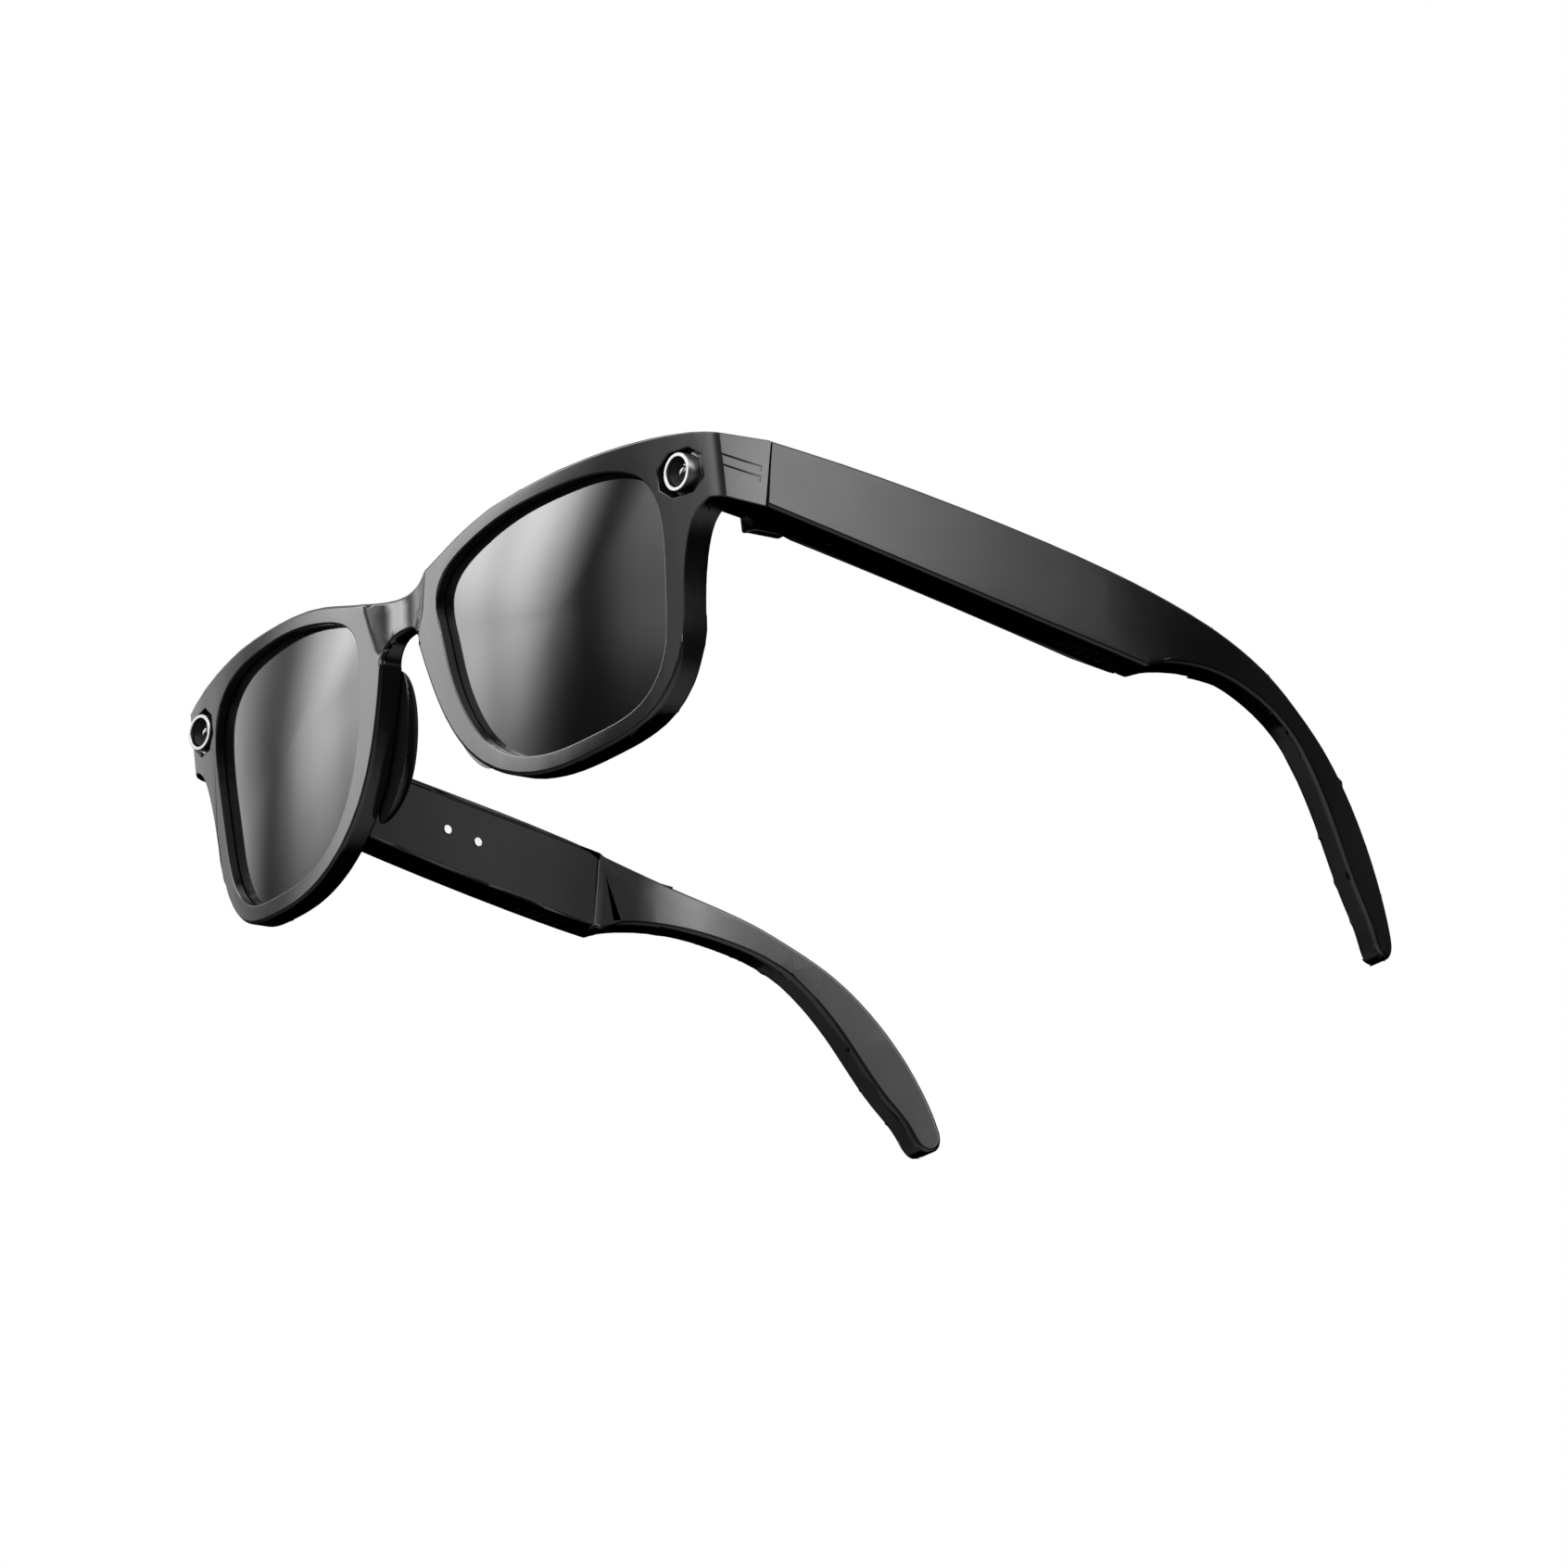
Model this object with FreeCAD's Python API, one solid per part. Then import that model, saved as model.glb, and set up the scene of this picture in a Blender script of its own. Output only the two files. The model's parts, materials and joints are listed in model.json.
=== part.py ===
import FreeCAD, Part
import math
import os

os.makedirs("parts", exist_ok=True)
Vector = FreeCAD.Vector

# Camera glasses with folding temples. Every length is in millimetres.
# The pieces are drawn in the upright frame of the front: X to the wearer's left, Y towards the wearer,
# Z up, and Y = 0 on the flat middle of the front surface. At the end the whole object is tipped until the
# two rims and the two temple tips stand on one level plane, and moved until its box stands on the origin.

# --- Front: overall sizes ---
LENS_WIDTH = 48.9            # eye opening across
LENS_HEIGHT = 43.1           # eye opening up
BRIDGE_GAP = 21.8            # between the two eye openings
EYE_TOP = 0.4                # height of the top of an eye opening
FLAT_HALF = 8.0              # the front is flat this far each side of the middle
WRAP_RADIUS = 202.0          # and then curves back with this radius
RIM_DEPTH = 4.6              # front to back
RIM_NOSE = 5.0               # rim widths seen from the front
RIM_BOTTOM = 3.2
RIM_TEMPLE = 3.5
END_REACH = 9.7              # eye opening to the corner of the front
END_HEIGHT = 11.2            # height of the end piece
END_DEPTH = 10.6             # corner to parting plane
END_THICKNESS = 6.4          # end piece arm and front end of the temple, across
HOUSING_DEPTH = 7.2          # camera housing, from the front surface at the camera to its rear wall
HOUSING_SIDE = 4.8           # camera centre to the inboard side of the housing
SIDE_FLARE = 1.6             # how far the arm leans outwards from corner to parting plane
ARM_UNDER_SLOPE = 7.7        # degrees that the arm's underside falls towards the temple
ENGRAVED_HEIGHTS = (-5.7, -7.5)  # fine lines on the arm, below the top of the parting line
ENGRAVED_WIDTH = 0.3
ENGRAVED_HOOK = 0.8          # turned-down end
ENGRAVED_END = 1.6           # before the parting plane
CORNER_FACETS = [(1.0, 0.9), (0.45, 1.0)]   # the two flats that turn the corner: out and back

# Unit outline of an eye opening: across from the nose side and up from the bottom, as shares of its box.
EYE_OUTLINE = [(0.0, 0.70), (0.035, 0.86), (0.165, 0.935), (0.39, 0.99), (0.62, 1.0), (0.82, 0.975),
               (0.955, 0.885), (1.0, 0.70), (0.985, 0.42), (0.945, 0.185), (0.855, 0.065), (0.66, 0.01),
               (0.46, 0.005), (0.27, 0.07), (0.125, 0.225), (0.035, 0.465)]
# Height of the brow edge above the eye openings' top, by share of the half width.
BROW_OUTLINE = [(0.0, -4.3), (0.06, -3.9), (0.125, -2.95), (0.21, -1.1), (0.29, 0.55), (0.40, 1.85),
                (0.54, 2.65), (0.66, 2.95), (0.78, 2.6), (0.90, 1.6), (1.0, -0.1)]
BROW_END_DROP = 0.8          # brow edge falls this much along the arm
ARCH_TOP = -10.4             # height of the top of the nose arch
ARCH_FOOT = (4.9, -14.8)     # where the arch meets the inner rims
CORNER_LIP = 0.6             # flat of the end piece's underside, from the corner
END_BLEND = [(3.4, 1.9), (5.1, 5.4)]   # curve from there to the rim: inwards and down
NOSE_FLARE = (1.7, 6.0)      # inner rim below the foot of the arch: outwards and down
LOWER_RIM = slice(8, 15)     # outline points from the temple side, round the bottom, to the nose side
SADDLE_TOP = 8.2             # half width of the saddle at the brow edge
SADDLE_BOTTOM = 4.8          # and at the foot of the arch
SADDLE_AXIS = 14.0           # saddle cone axis, in front of the front surface

# --- Lenses and nose pads ---
LENS_THICKNESS = 1.8
LENS_SETBACK = 1.9           # front of the rim to front of the lens
GROOVE_DEPTH = 0.75          # the lens reaches this far into the rim
GROOVE_CLEARANCE = 0.05
PAD_SIZE = (3.3, 4.2, 12.4)  # half sizes of a nose pad
PAD_HEIGHT = -26.5
PAD_INSET = 3.3              # eye opening's nose edge to the pad's middle, towards the nose
PAD_SLOPE = 17.0             # degrees from upright
NOSE_SPREAD = 4.6            # how far the openings lean apart from top to bottom

# --- Camera modules ---
CAMERA_INSET = 4.6           # eye opening to camera centre
CAMERA_HEIGHT = -5.1
BEZEL_HALF = (4.1, 3.7)      # octagonal bezel, half width and half height
BEZEL_CORNER = 0.45          # share of each half size that stays straight
BEZEL_CLEARANCE = 0.05
BEZEL_PLATE = 0.8            # rear plate that holds the ring
BEZEL_REAR = 2.2             # behind the front surface at the camera
RING_RADIUS = 3.1
RING_WALL = 0.65
RING_LENGTH = 2.9
RING_CHAMFER = 0.1
RING_PROUD = 0.9             # ring face in front of the front surface, at the camera
DISH_DEPTH = 1.35            # foot of the bezel's facets, behind the front surface at the camera
RING_SEAT = 0.3              # wall of the bezel round the ring, at the foot of the facets
MOUTH_SETBACK = 0.25         # ring face to the barrel's front
MOUTH_DEPTH = 0.9
DOME_RADIUS = 2.0            # front of the camera lens
BARREL_RADIUS = 3.0
BARREL_LENGTH = 3.0
APERTURE_RADIUS = 1.3
CAMERA_LENS_RADIUS = 1.6
CAMERA_LENS_LENGTH = 1.2
BOARD_THICKNESS = 0.6
BOARD_HALF = (3.0, 2.4)      # camera board, half width and half height
FIT = 0.04                   # clearance round a seated piece

# --- Brow channel ---
CHANNEL_INSET = 0.8          # brow edge to channel
CHANNEL_HEIGHT = 1.3
CHANNEL_FLOOR = 3.85         # behind the front surface
BROW_COVER_THICKNESS = 0.4
FLEX_THICKNESS = 0.2
FLEX_MARGIN = 0.2

# --- Hinges ---
PIVOT_INSET = 0.7            # pivot line, inboard of the arm's inner face
PIVOT_FORWARD = 1.2          # and ahead of the top of the parting line
KNUCKLE_RADIUS = 1.7
KNUCKLE_COUNT = 5
KNUCKLE_HEIGHT = 1.7
KNUCKLE_GAP = 0.12
KNUCKLE_TOP = -1.9
LEAF_THICKNESS = 0.9
LEAF_LENGTH = 7.2
LEAF_FRONT_LENGTH = 4.6
SWING_CLEARANCE = 0.25       # round the knuckles and between the parting faces
HINGE_SCREW_RADIUS = 0.7
HINGE_SCREW_CLEARANCE = 0.05
HINGE_SCREW_HEAD = 1.2
LEAF_SCREW_RADIUS = 0.5
LEAF_SCREW_LENGTH = 2.6
LEAF_SCREW_EDGE = 1.4        # screw centre to the end of the leaf
LEAF_SCREW_HEIGHTS = (-4.6, -8.6)
LEAF_SCREW_HEAD = 0.5        # head is this much wider than the shank, and this high
SCREW_HEAD_HEIGHT = 0.45     # hinge screw head above the top knuckle
SCREW_SLOT = 0.3
CAP_THICKNESS = 2.5
CAP_CHAMFER = 0.8
CAP_TOP = 1.0                # below the top knuckle's top
CAP_OVERLAP = 1.0            # behind the end of the leaf
CAP_GLUE = 0.02
CAP_DROP = 2.6               # below the lowest knuckle
CAP_START = 0.7              # behind the pivot line

# --- Temples ---
STRAIGHT_LENGTH = 79.0       # parting plane to the notch
HOOK_LENGTH = 70.0           # notch to the tip
HOOK_DROP = 37.2             # how far the tip falls below the top of the parting line
TEMPLE_SLOPE = 12.0          # degrees down towards the tip, from square to the front
TEMPLE_THICKNESS = 6.4
HOOK_THICKNESS = 4.6
TEMPLE_HEIGHT = 12.6         # straight part, below the top of the parting line
# Top and bottom edges: distance along, then height, over the straight part. The hook's are shares of it.
STRAIGHT_TOP = [(0.0, -0.45), (20.0, 1.1), (40.0, 2.0), (60.0, 2.5)]
HOOK_TOP = [(0.01, -0.061), (0.22, -0.043), (0.36, -0.013), (0.47, 0.03), (0.565, 0.091), (0.675, 0.182),
            (0.785, 0.328), (0.88, 0.513), (0.95, 0.702), (0.992, 0.86)]
HOOK_TIP = [(1.0, 0.945), (0.982, 0.995), (0.947, 1.0)]
HOOK_BOTTOM = [(0.912, 0.925), (0.847, 0.798), (0.771, 0.636), (0.702, 0.48), (0.633, 0.354), (0.565, 0.263),
               (0.48, 0.202), (0.385, 0.174), (0.29, 0.169), (0.193, 0.192), (0.096, 0.242), (0.03, 0.293)]
# Outer face: distance along as a share of the whole temple, and how far out of the parting line it lies.
BOW = [(0.0, 0.0), (0.13, 1.1), (0.26, 1.8), (0.40, 2.15), (0.53, 2.0), (0.63, 0.8), (0.73, -1.7),
       (0.80, -4.2), (0.87, -6.9), (0.94, -9.7), (1.02, -13.0)]
NECK = (0.50, 0.62)          # the thickness changes between these shares of the length

# --- Electronics bay in each temple ---
BAY_START = 10.6
BAY_END = 76.0
BAY_WALL = 1.2               # outer, top and bottom walls
COVER_THICKNESS = 1.0
COVER_LEDGE = 0.8
COVER_CLEARANCE = 0.08
CHIPS = [(5.0, 5.0, 0.8), (3.0, 3.0, 0.6), (4.0, 3.4, 0.7)]   # along, up and proud of the board
CHIP_PITCH = 6.0
CHIP_MARGIN = 1.2
BATTERY_RISE = 0.9           # above the bay's floor
BOARD_RISE = 1.5
SPEAKER_RISE = 0.3
WALL_GAP = 0.25              # inner pieces stand off the outer wall
BOARD_WALL_GAP = 0.4
MESH_SIZE = (3.2, 12.5, 0.2) # across, along and up
FLOOR_GAP = 0.02
TOUCH_BAND = (-8.5, -2.5)    # touch film, low and high edge
TOUCH_THICKNESS = 0.15
BATTERY = (31.5, 58.5, 2.6, 8.8)       # start, end, thickness and height
BOARD = (12.0, 30.5, 0.8, 6.0)
SPEAKER = (60.0, 74.5, 3.0, 6.4)
SLOT_COUNT = 5
SLOT_SIZE = (0.8, 2.4)
SLOT_PITCH = 2.2
MIC_ALONG = 14.5
MIC_SIZE = (3.4, 2.6, 1.1)
MIC_HOLE = 0.4
CORE_WIDTH = 1.8
CORE_THICKNESS = 0.8
CORE_SHARES = (0.06, 0.86)   # stretch of the hook that holds the core

# --- Controls and charging ---
BUTTON_TRAVEL = 0.5
BUTTON_PROUD = 0.6
BUTTON_CLEARANCE = 0.12
BUTTON_FLANGE = 0.5
FLANGE_REACH = 0.5           # flange beyond the button, all round
BUTTON_PLAY = 0.1            # button at rest to its switch, and flange to the wall
CAPTURE_ALONG = 20.0
CAPTURE_SIZE = (9.0, 2.6)    # along the temple and across it
POWER_ALONG = 21.0
POWER_HEIGHT = -5.2
POWER_SIZE = (6.0, 2.6)      # along the temple and up it
SWITCH_THICKNESS = 0.8
SWITCH_SIZE = (2.6, 3.6)     # across and along the temple
POWER_SWITCH = (0.3, 3.0)    # thickness, and side of its square face
PIN_ALONG = (43.3, 50.1)
PIN_HEIGHT = -5.3
PIN_RADIUS = 0.8
PIN_PROUD = 0.2
PIN_TAIL = 0.3               # pin behind the cover
MAGNET_GAP = 0.15
MAGNET_RADIUS = 1.7
MAGNET_LENGTH = 0.6
MAGNET_ALONG = (38.8, 54.6)

# --- Worked-out places ---
EYE_EDGE = BRIDGE_GAP / 2 + LENS_WIDTH
CORNER_X = EYE_EDGE + END_REACH
CAMERA_X = EYE_EDGE + CAMERA_INSET
TEMPLE_LENGTH = STRAIGHT_LENGTH + HOOK_LENGTH
FAR = 40.0                   # overshoot of cutting tools


def wrap_y(x, depth=0.0):
    """Y of the surface that lies `depth` behind the front surface, at x."""
    side = max(abs(x) - FLAT_HALF, 0.0)
    return WRAP_RADIUS - math.sqrt((WRAP_RADIUS - depth) ** 2 - side ** 2)


FACET_OUT = sum(facet[0] for facet in CORNER_FACETS)
FACET_BACK = sum(facet[1] for facet in CORNER_FACETS)
PARTING_X = CORNER_X + FACET_OUT + SIDE_FLARE
PARTING_Y = wrap_y(CORNER_X) + FACET_BACK + END_DEPTH - CORNER_FACETS[1][1]
ARM_INNER_X = PARTING_X - END_THICKNESS
CAMERA_Y = wrap_y(CAMERA_X)
HOUSING_REAR = CAMERA_Y + HOUSING_DEPTH
RING_FACE = CAMERA_Y - RING_PROUD
PIVOT_X = ARM_INNER_X - PIVOT_INSET
PIVOT_Y = PARTING_Y - PIVOT_FORWARD


def spline(points, closed=False):
    curve = Part.BSplineCurve()
    curve.interpolate(Points=points, PeriodicFlag=closed)
    return curve


def polygon(points):
    return Part.makePolygon(points + [points[0]])


def prism(edges, along):
    wire = Part.Wire(Part.__sortEdges__(edges))
    return Part.Face(wire).extrude(along)


# ---------- front surface and outlines ----------

def wrap_edges(depth, reach):
    """The surface `depth` behind the front surface, from -reach to reach, as plan edges."""
    def at(x):
        return Vector(x, wrap_y(x, depth), 0)
    middle = (FLAT_HALF + reach) / 2
    return [Part.Arc(at(-reach), at(-middle), at(-FLAT_HALF)).toShape(),
            Part.makeLine(at(-FLAT_HALF), at(FLAT_HALF)),
            Part.Arc(at(FLAT_HALF), at(middle), at(reach)).toShape()]


def wrap_slab(front, back, reach):
    """Everything between two depths behind the front surface."""
    edges = wrap_edges(front, reach) + wrap_edges(back, reach)
    for x in (-reach, reach):
        edges.append(Part.makeLine(Vector(x, wrap_y(x, front), 0), Vector(x, wrap_y(x, back), 0)))
    slab = prism(edges, Vector(0, 0, 4 * FAR))
    slab.translate(Vector(0, 0, -2 * FAR))
    return slab


def eye_points():
    return [(BRIDGE_GAP / 2 + u * LENS_WIDTH, EYE_TOP - (1 - v) * LENS_HEIGHT) for u, v in EYE_OUTLINE]


def grown(points, width):
    """Moves each point of a closed outline outwards by width(across, up), given the outward direction."""
    curve = spline([Vector(x, 0, z) for x, z in points], closed=True)
    result = []
    for x, z in points:
        run = curve.tangent(curve.parameter(Vector(x, 0, z)))[0]
        across, up = -run.z, run.x
        step = width(across, up)
        result.append((x + step * across, z + step * up))
    return result


def outline_prism(points, start=-FAR, length=3 * FAR):
    curve = spline([Vector(x, start, z) for x, z in points], closed=True)
    return prism([curve.toShape()], Vector(0, length, 0))


def rim_width(across, up):
    side = RIM_NOSE if across < 0 else RIM_TEMPLE
    return side * across ** 4 + RIM_BOTTOM * (1 - across ** 4)


def brow_points(drop=0.0):
    half = [(share * CORNER_X, EYE_TOP + rise - drop) for share, rise in BROW_OUTLINE]
    return [(-x, z) for x, z in reversed(half[1:])] + half


def brow_edges(side):
    """Brow edge beyond a corner, over the arm, and the end of the drawing."""
    end = PARTING_X + FAR / 4
    drop = BROW_END_DROP * (end - CORNER_X) / (PARTING_X - CORNER_X)
    corner = Vector(side * CORNER_X, -FAR, EYE_TOP + BROW_OUTLINE[-1][1])
    return [corner, Vector(side * end, -FAR, corner.z - drop)]


def under_brow():
    """Everything below the brow edge."""
    corners = [brow_edges(side) for side in (-1, 1)]
    edges = [spline([Vector(x, -FAR, z) for x, z in brow_points()]).toShape()]
    low = [Vector(pair[1].x, -FAR, -2 * FAR) for pair in corners]
    for pair, foot in zip(corners, low):
        edges.append(Part.makeLine(*pair))
        edges.append(Part.makeLine(pair[1], foot))
    edges.append(Part.makeLine(*low))
    return prism(edges, Vector(0, 3 * FAR, 0))


def front_outline():
    """The front seen square on: brow edge, end pieces, rims and nose arch."""
    y = -FAR
    underside = EYE_TOP - END_HEIGHT
    lower = grown(eye_points(), rim_width)[LOWER_RIM]
    edges = [spline([Vector(x, y, z) for x, z in brow_points()]).toShape()]
    for side in (-1, 1):
        corner, far_top = brow_edges(side)
        far_bottom = Vector(far_top.x, y, underside)
        root = Vector(side * (CORNER_X - CORNER_LIP), y, underside)
        foot = Vector(side * ARCH_FOOT[0], y, ARCH_FOOT[1])
        blend = [Vector(side * (CORNER_X - inwards), y, underside - down) for inwards, down in END_BLEND]
        inner = Vector(side * (ARCH_FOOT[0] + NOSE_FLARE[0]), y, ARCH_FOOT[1] - NOSE_FLARE[1])
        around = [root] + blend + [Vector(side * x, y, z) for x, z in lower] + [inner, foot]
        edges.append(Part.makeLine(corner, far_top))
        edges.append(Part.makeLine(far_top, far_bottom))
        edges.append(Part.makeLine(far_bottom, root))
        edges.append(spline(around).toShape())
    half, foot = ARCH_FOOT
    crown = [(1.0, foot), (0.86, ARCH_TOP - 2.0), (0.48, ARCH_TOP - 0.4), (0.0, ARCH_TOP)]
    crown = [Vector(-half * share, y, z) for share, z in crown]
    crown += [Vector(-p.x, y, p.z) for p in reversed(crown[:-1])]
    edges.append(spline(crown).toShape())
    return prism(edges, Vector(0, 3 * FAR, 0))


# ---------- temple frame ----------
# Pieces of a temple are drawn with X across, Y along the temple from the parting line and Z up, and then
# laid at the temple's slope.

def to_temple(shape):
    placed = shape.copy()
    placed.rotate(Vector(0, 0, 0), Vector(1, 0, 0), -TEMPLE_SLOPE)
    placed.translate(Vector(0, PARTING_Y, 0))
    return placed


def block(x0, x1, y0, y1, z0, z1):
    return Part.makeBox(x1 - x0, y1 - y0, z1 - z0, Vector(x0, y0, z0))


def mirrored(shape):
    return shape.mirror(Vector(0, 0, 0), Vector(1, 0, 0))


def bow_x(share):
    """Outer face of the temple at a share of its length."""
    for (a, xa), (b, xb) in zip(BOW, BOW[1:]):
        if share <= b:
            return PARTING_X + xa + (xb - xa) * (share - a) / (b - a)
    return PARTING_X + BOW[-1][1]


def thickness_at(share):
    blend = min(max((share - NECK[0]) / (NECK[1] - NECK[0]), 0.0), 1.0)
    return TEMPLE_THICKNESS + (HOOK_THICKNESS - TEMPLE_THICKNESS) * blend


def face_x(along, depth):
    """X at a depth under the outer face."""
    return bow_x(along / TEMPLE_LENGTH) - depth


def inner_x(along):
    return face_x(along, thickness_at(along / TEMPLE_LENGTH))


def plan_band(outer_depth, inner_height):
    """The temple's plan from a depth under its outer face to a height over its inner face."""
    outer = []
    inner = []
    for share, reach in BOW:
        along = share * TEMPLE_LENGTH
        outer.append(Vector(PARTING_X + reach - outer_depth, along, -2 * FAR))
        inner.append(Vector(PARTING_X + reach - thickness_at(share) + inner_height, along, -2 * FAR))
    edges = [spline(outer).toShape(), spline(inner).toShape(),
             Part.makeLine(outer[0], inner[0]), Part.makeLine(outer[-1], inner[-1])]
    return prism(edges, Vector(0, 0, 4 * FAR))


def hook_place(point):
    return (STRAIGHT_LENGTH + point[0] * HOOK_LENGTH, -point[1] * HOOK_DROP)


def side_profile():
    """The temple seen from the side, as a block right across."""
    top = STRAIGHT_TOP + [hook_place(p) for p in HOOK_TOP]
    rounded = [hook_place(p) for p in HOOK_TIP]
    under = [hook_place(p) for p in HOOK_BOTTOM]
    notch = (STRAIGHT_LENGTH, -TEMPLE_HEIGHT + 0.5)
    base = [notch, (STRAIGHT_LENGTH * 0.6, -TEMPLE_HEIGHT - 0.1), (STRAIGHT_LENGTH * 0.25, -TEMPLE_HEIGHT),
            (0.0, -TEMPLE_HEIGHT + 0.3)]
    def lift(points):
        return [Vector(0, s, t) for s, t in points]
    curve = spline(lift(top + rounded + under + [notch])).toShape()
    floor = spline(lift(base)).toShape()
    front = Part.makeLine(Vector(0, *base[-1]), Vector(0, *top[0]))
    return prism([curve, floor, front], Vector(2 * FAR + PARTING_X, 0, 0))


def bay_polygon(margin):
    """The electronics bay from the side, grown by a margin."""
    points = [(BAY_START - margin, -1.6 + margin), (20.0, -0.7 + margin), (BAY_END + margin, 0.9 + margin),
              (BAY_END + margin, bay_floor() - margin), (BAY_START - margin, bay_floor() - margin)]
    face = Part.Face(polygon([Vector(0, s, t) for s, t in points]))
    return face.extrude(Vector(2 * FAR + PARTING_X, 0, 0))


# ---------- front pieces ----------

def octagon(half_x, half_z, y):
    keep_x, keep_z = half_x * BEZEL_CORNER, half_z * BEZEL_CORNER
    corners = [(half_x, keep_z), (keep_x, half_z), (-keep_x, half_z), (-half_x, keep_z), (-half_x, -keep_z),
               (-keep_x, -half_z), (keep_x, -half_z), (half_x, -keep_z)]
    return [Vector(CAMERA_X + x, y, CAMERA_HEIGHT + z) for x, z in corners]


def along_y(radius, start, end, x=CAMERA_X, z=CAMERA_HEIGHT):
    return Part.makeCylinder(radius, end - start, Vector(x, start, z), Vector(0, 1, 0))


def upright(radius, low, high, x, y):
    return Part.makeCylinder(radius, high - low, Vector(x, y, low), Vector(0, 0, 1))


def corner_points():
    points = [Vector(CORNER_X, wrap_y(CORNER_X), 0)]
    for out, back in CORNER_FACETS:
        points.append(points[-1] + Vector(out, back, 0))
    return points + [Vector(PARTING_X, PARTING_Y, 0), Vector(ARM_INNER_X, PARTING_Y, 0)]


def housing(outline):
    """Camera housing behind the corner of the front."""
    inboard = CAMERA_X - HOUSING_SIDE
    points = corner_points()[:3] + [Vector(CORNER_X + FACET_OUT, HOUSING_REAR, 0),
                                    Vector(inboard, HOUSING_REAR, 0), Vector(inboard, wrap_y(inboard), 0)]
    edges = [Part.makeLine(a, b) for a, b in zip(points, points[1:])]
    middle = (inboard + CORNER_X) / 2
    edges.append(Part.Arc(points[-1], Vector(middle, wrap_y(middle), 0), points[0]).toShape())
    body = prism(edges, Vector(0, 0, END_HEIGHT + FAR))
    body.translate(Vector(0, 0, EYE_TOP - END_HEIGHT))
    return body.common(outline)


def arm():
    """Arm that runs from the corner back to the parting plane."""
    root = Vector(ARM_INNER_X, wrap_y(ARM_INNER_X) + RIM_DEPTH / 2, 0)
    body = Part.Face(polygon(corner_points() + [root])).extrude(Vector(0, 0, 2 * FAR))
    body.translate(Vector(0, 0, -FAR))
    beyond = to_temple(block(-FAR, 4 * FAR, -SWING_CLEARANCE, FAR, -2 * FAR, 2 * FAR))
    under = block(-FAR, 4 * FAR, -FAR, FAR, -2 * FAR, 0)
    under.rotate(Vector(0, 0, 0), Vector(1, 0, 0), -ARM_UNDER_SLOPE)
    under.translate(Vector(0, wrap_y(CORNER_X), EYE_TOP - END_HEIGHT))
    return body.common(under_brow()).cut([beyond, under])


def saddle():
    """Cone that hollows the bridge between its two creases."""
    low, high = ARCH_FOOT[1] - 3, EYE_TOP
    rate = (SADDLE_TOP - SADDLE_BOTTOM) / (EYE_TOP - 3.0 - ARCH_FOOT[1])
    def radius(z):
        half = SADDLE_BOTTOM + rate * (z - ARCH_FOOT[1])
        return math.hypot(half, SADDLE_AXIS)
    foot = Vector(0, -SADDLE_AXIS, low)
    return Part.makeCone(radius(low), radius(high), high - low, foot, Vector(0, 0, 1))


def channel_band(trim, reach):
    """Strip that follows the brow edge, for the channel and what lies in it."""
    top = [Vector(x, -FAR, z) for x, z in brow_points(CHANNEL_INSET + trim) if abs(x) < reach]
    low = [Vector(p.x, -FAR, p.z - CHANNEL_HEIGHT + 2 * trim) for p in top]
    edges = [spline(top).toShape(), spline(low).toShape(), Part.makeLine(top[0], low[0]),
             Part.makeLine(top[-1], low[-1])]
    return prism(edges, Vector(0, 3 * FAR, 0))


def engraved_lines():
    """Two fine lines from the corner facets along the arm, each with a turned-down end."""
    cuts = []
    half_line = ENGRAVED_WIDTH / 2
    depth = ENGRAVED_WIDTH
    lean = math.degrees(math.atan2(SIDE_FLARE, END_DEPTH - CORNER_FACETS[1][1]))
    start = -END_DEPTH - FACET_BACK
    end = -ENGRAVED_END
    for height in ENGRAVED_HEIGHTS:
        long_cut = block(-depth, depth, start, end, height - half_line, height + half_line)
        hook = block(-depth, depth, end - ENGRAVED_WIDTH, end, height - ENGRAVED_HOOK, height)
        cut = long_cut.fuse(hook)
        cut.rotate(Vector(0, 0, 0), Vector(0, 0, 1), -lean)
        cut.translate(Vector(PARTING_X, 0, 0))
        cuts.append(to_temple(cut))
    return cuts


def camera_pocket():
    grow = BEZEL_CLEARANCE
    rear = CAMERA_Y + BEZEL_REAR + BARREL_LENGTH + 2 * BOARD_THICKNESS
    face = Part.Face(polygon(octagon(BEZEL_HALF[0] + grow, BEZEL_HALF[1] + grow, 0)))
    return face.extrude(Vector(0, rear, 0))


def front_frame(outline):
    slab = wrap_slab(0, RIM_DEPTH, CORNER_X)
    frame = outline.common(slab)
    ends = [housing(outline), arm()]
    frame = frame.fuse(ends + [mirrored(end) for end in ends])
    eye = outline_prism(eye_points())
    groove = lens_blank(GROOVE_CLEARANCE)
    cuts = [saddle(), channel_band(0, CAMERA_X).common(wrap_slab(CHANNEL_FLOOR, 2 * RIM_DEPTH, CORNER_X))]
    one_side = [eye, groove, camera_pocket(), hinge_clearance()] + engraved_lines() + front_leaf_holes(FIT)
    for cut in one_side:
        cuts += [cut, mirrored(cut)]
    return frame.cut(cuts).removeSplitter()


def lens_blank(clearance=0.0):
    edge = grown(eye_points(), lambda across, up: GROOVE_DEPTH + clearance)
    slab = wrap_slab(LENS_SETBACK - clearance, LENS_SETBACK + LENS_THICKNESS + clearance, CORNER_X)
    return outline_prism(edge).common(slab)


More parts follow.
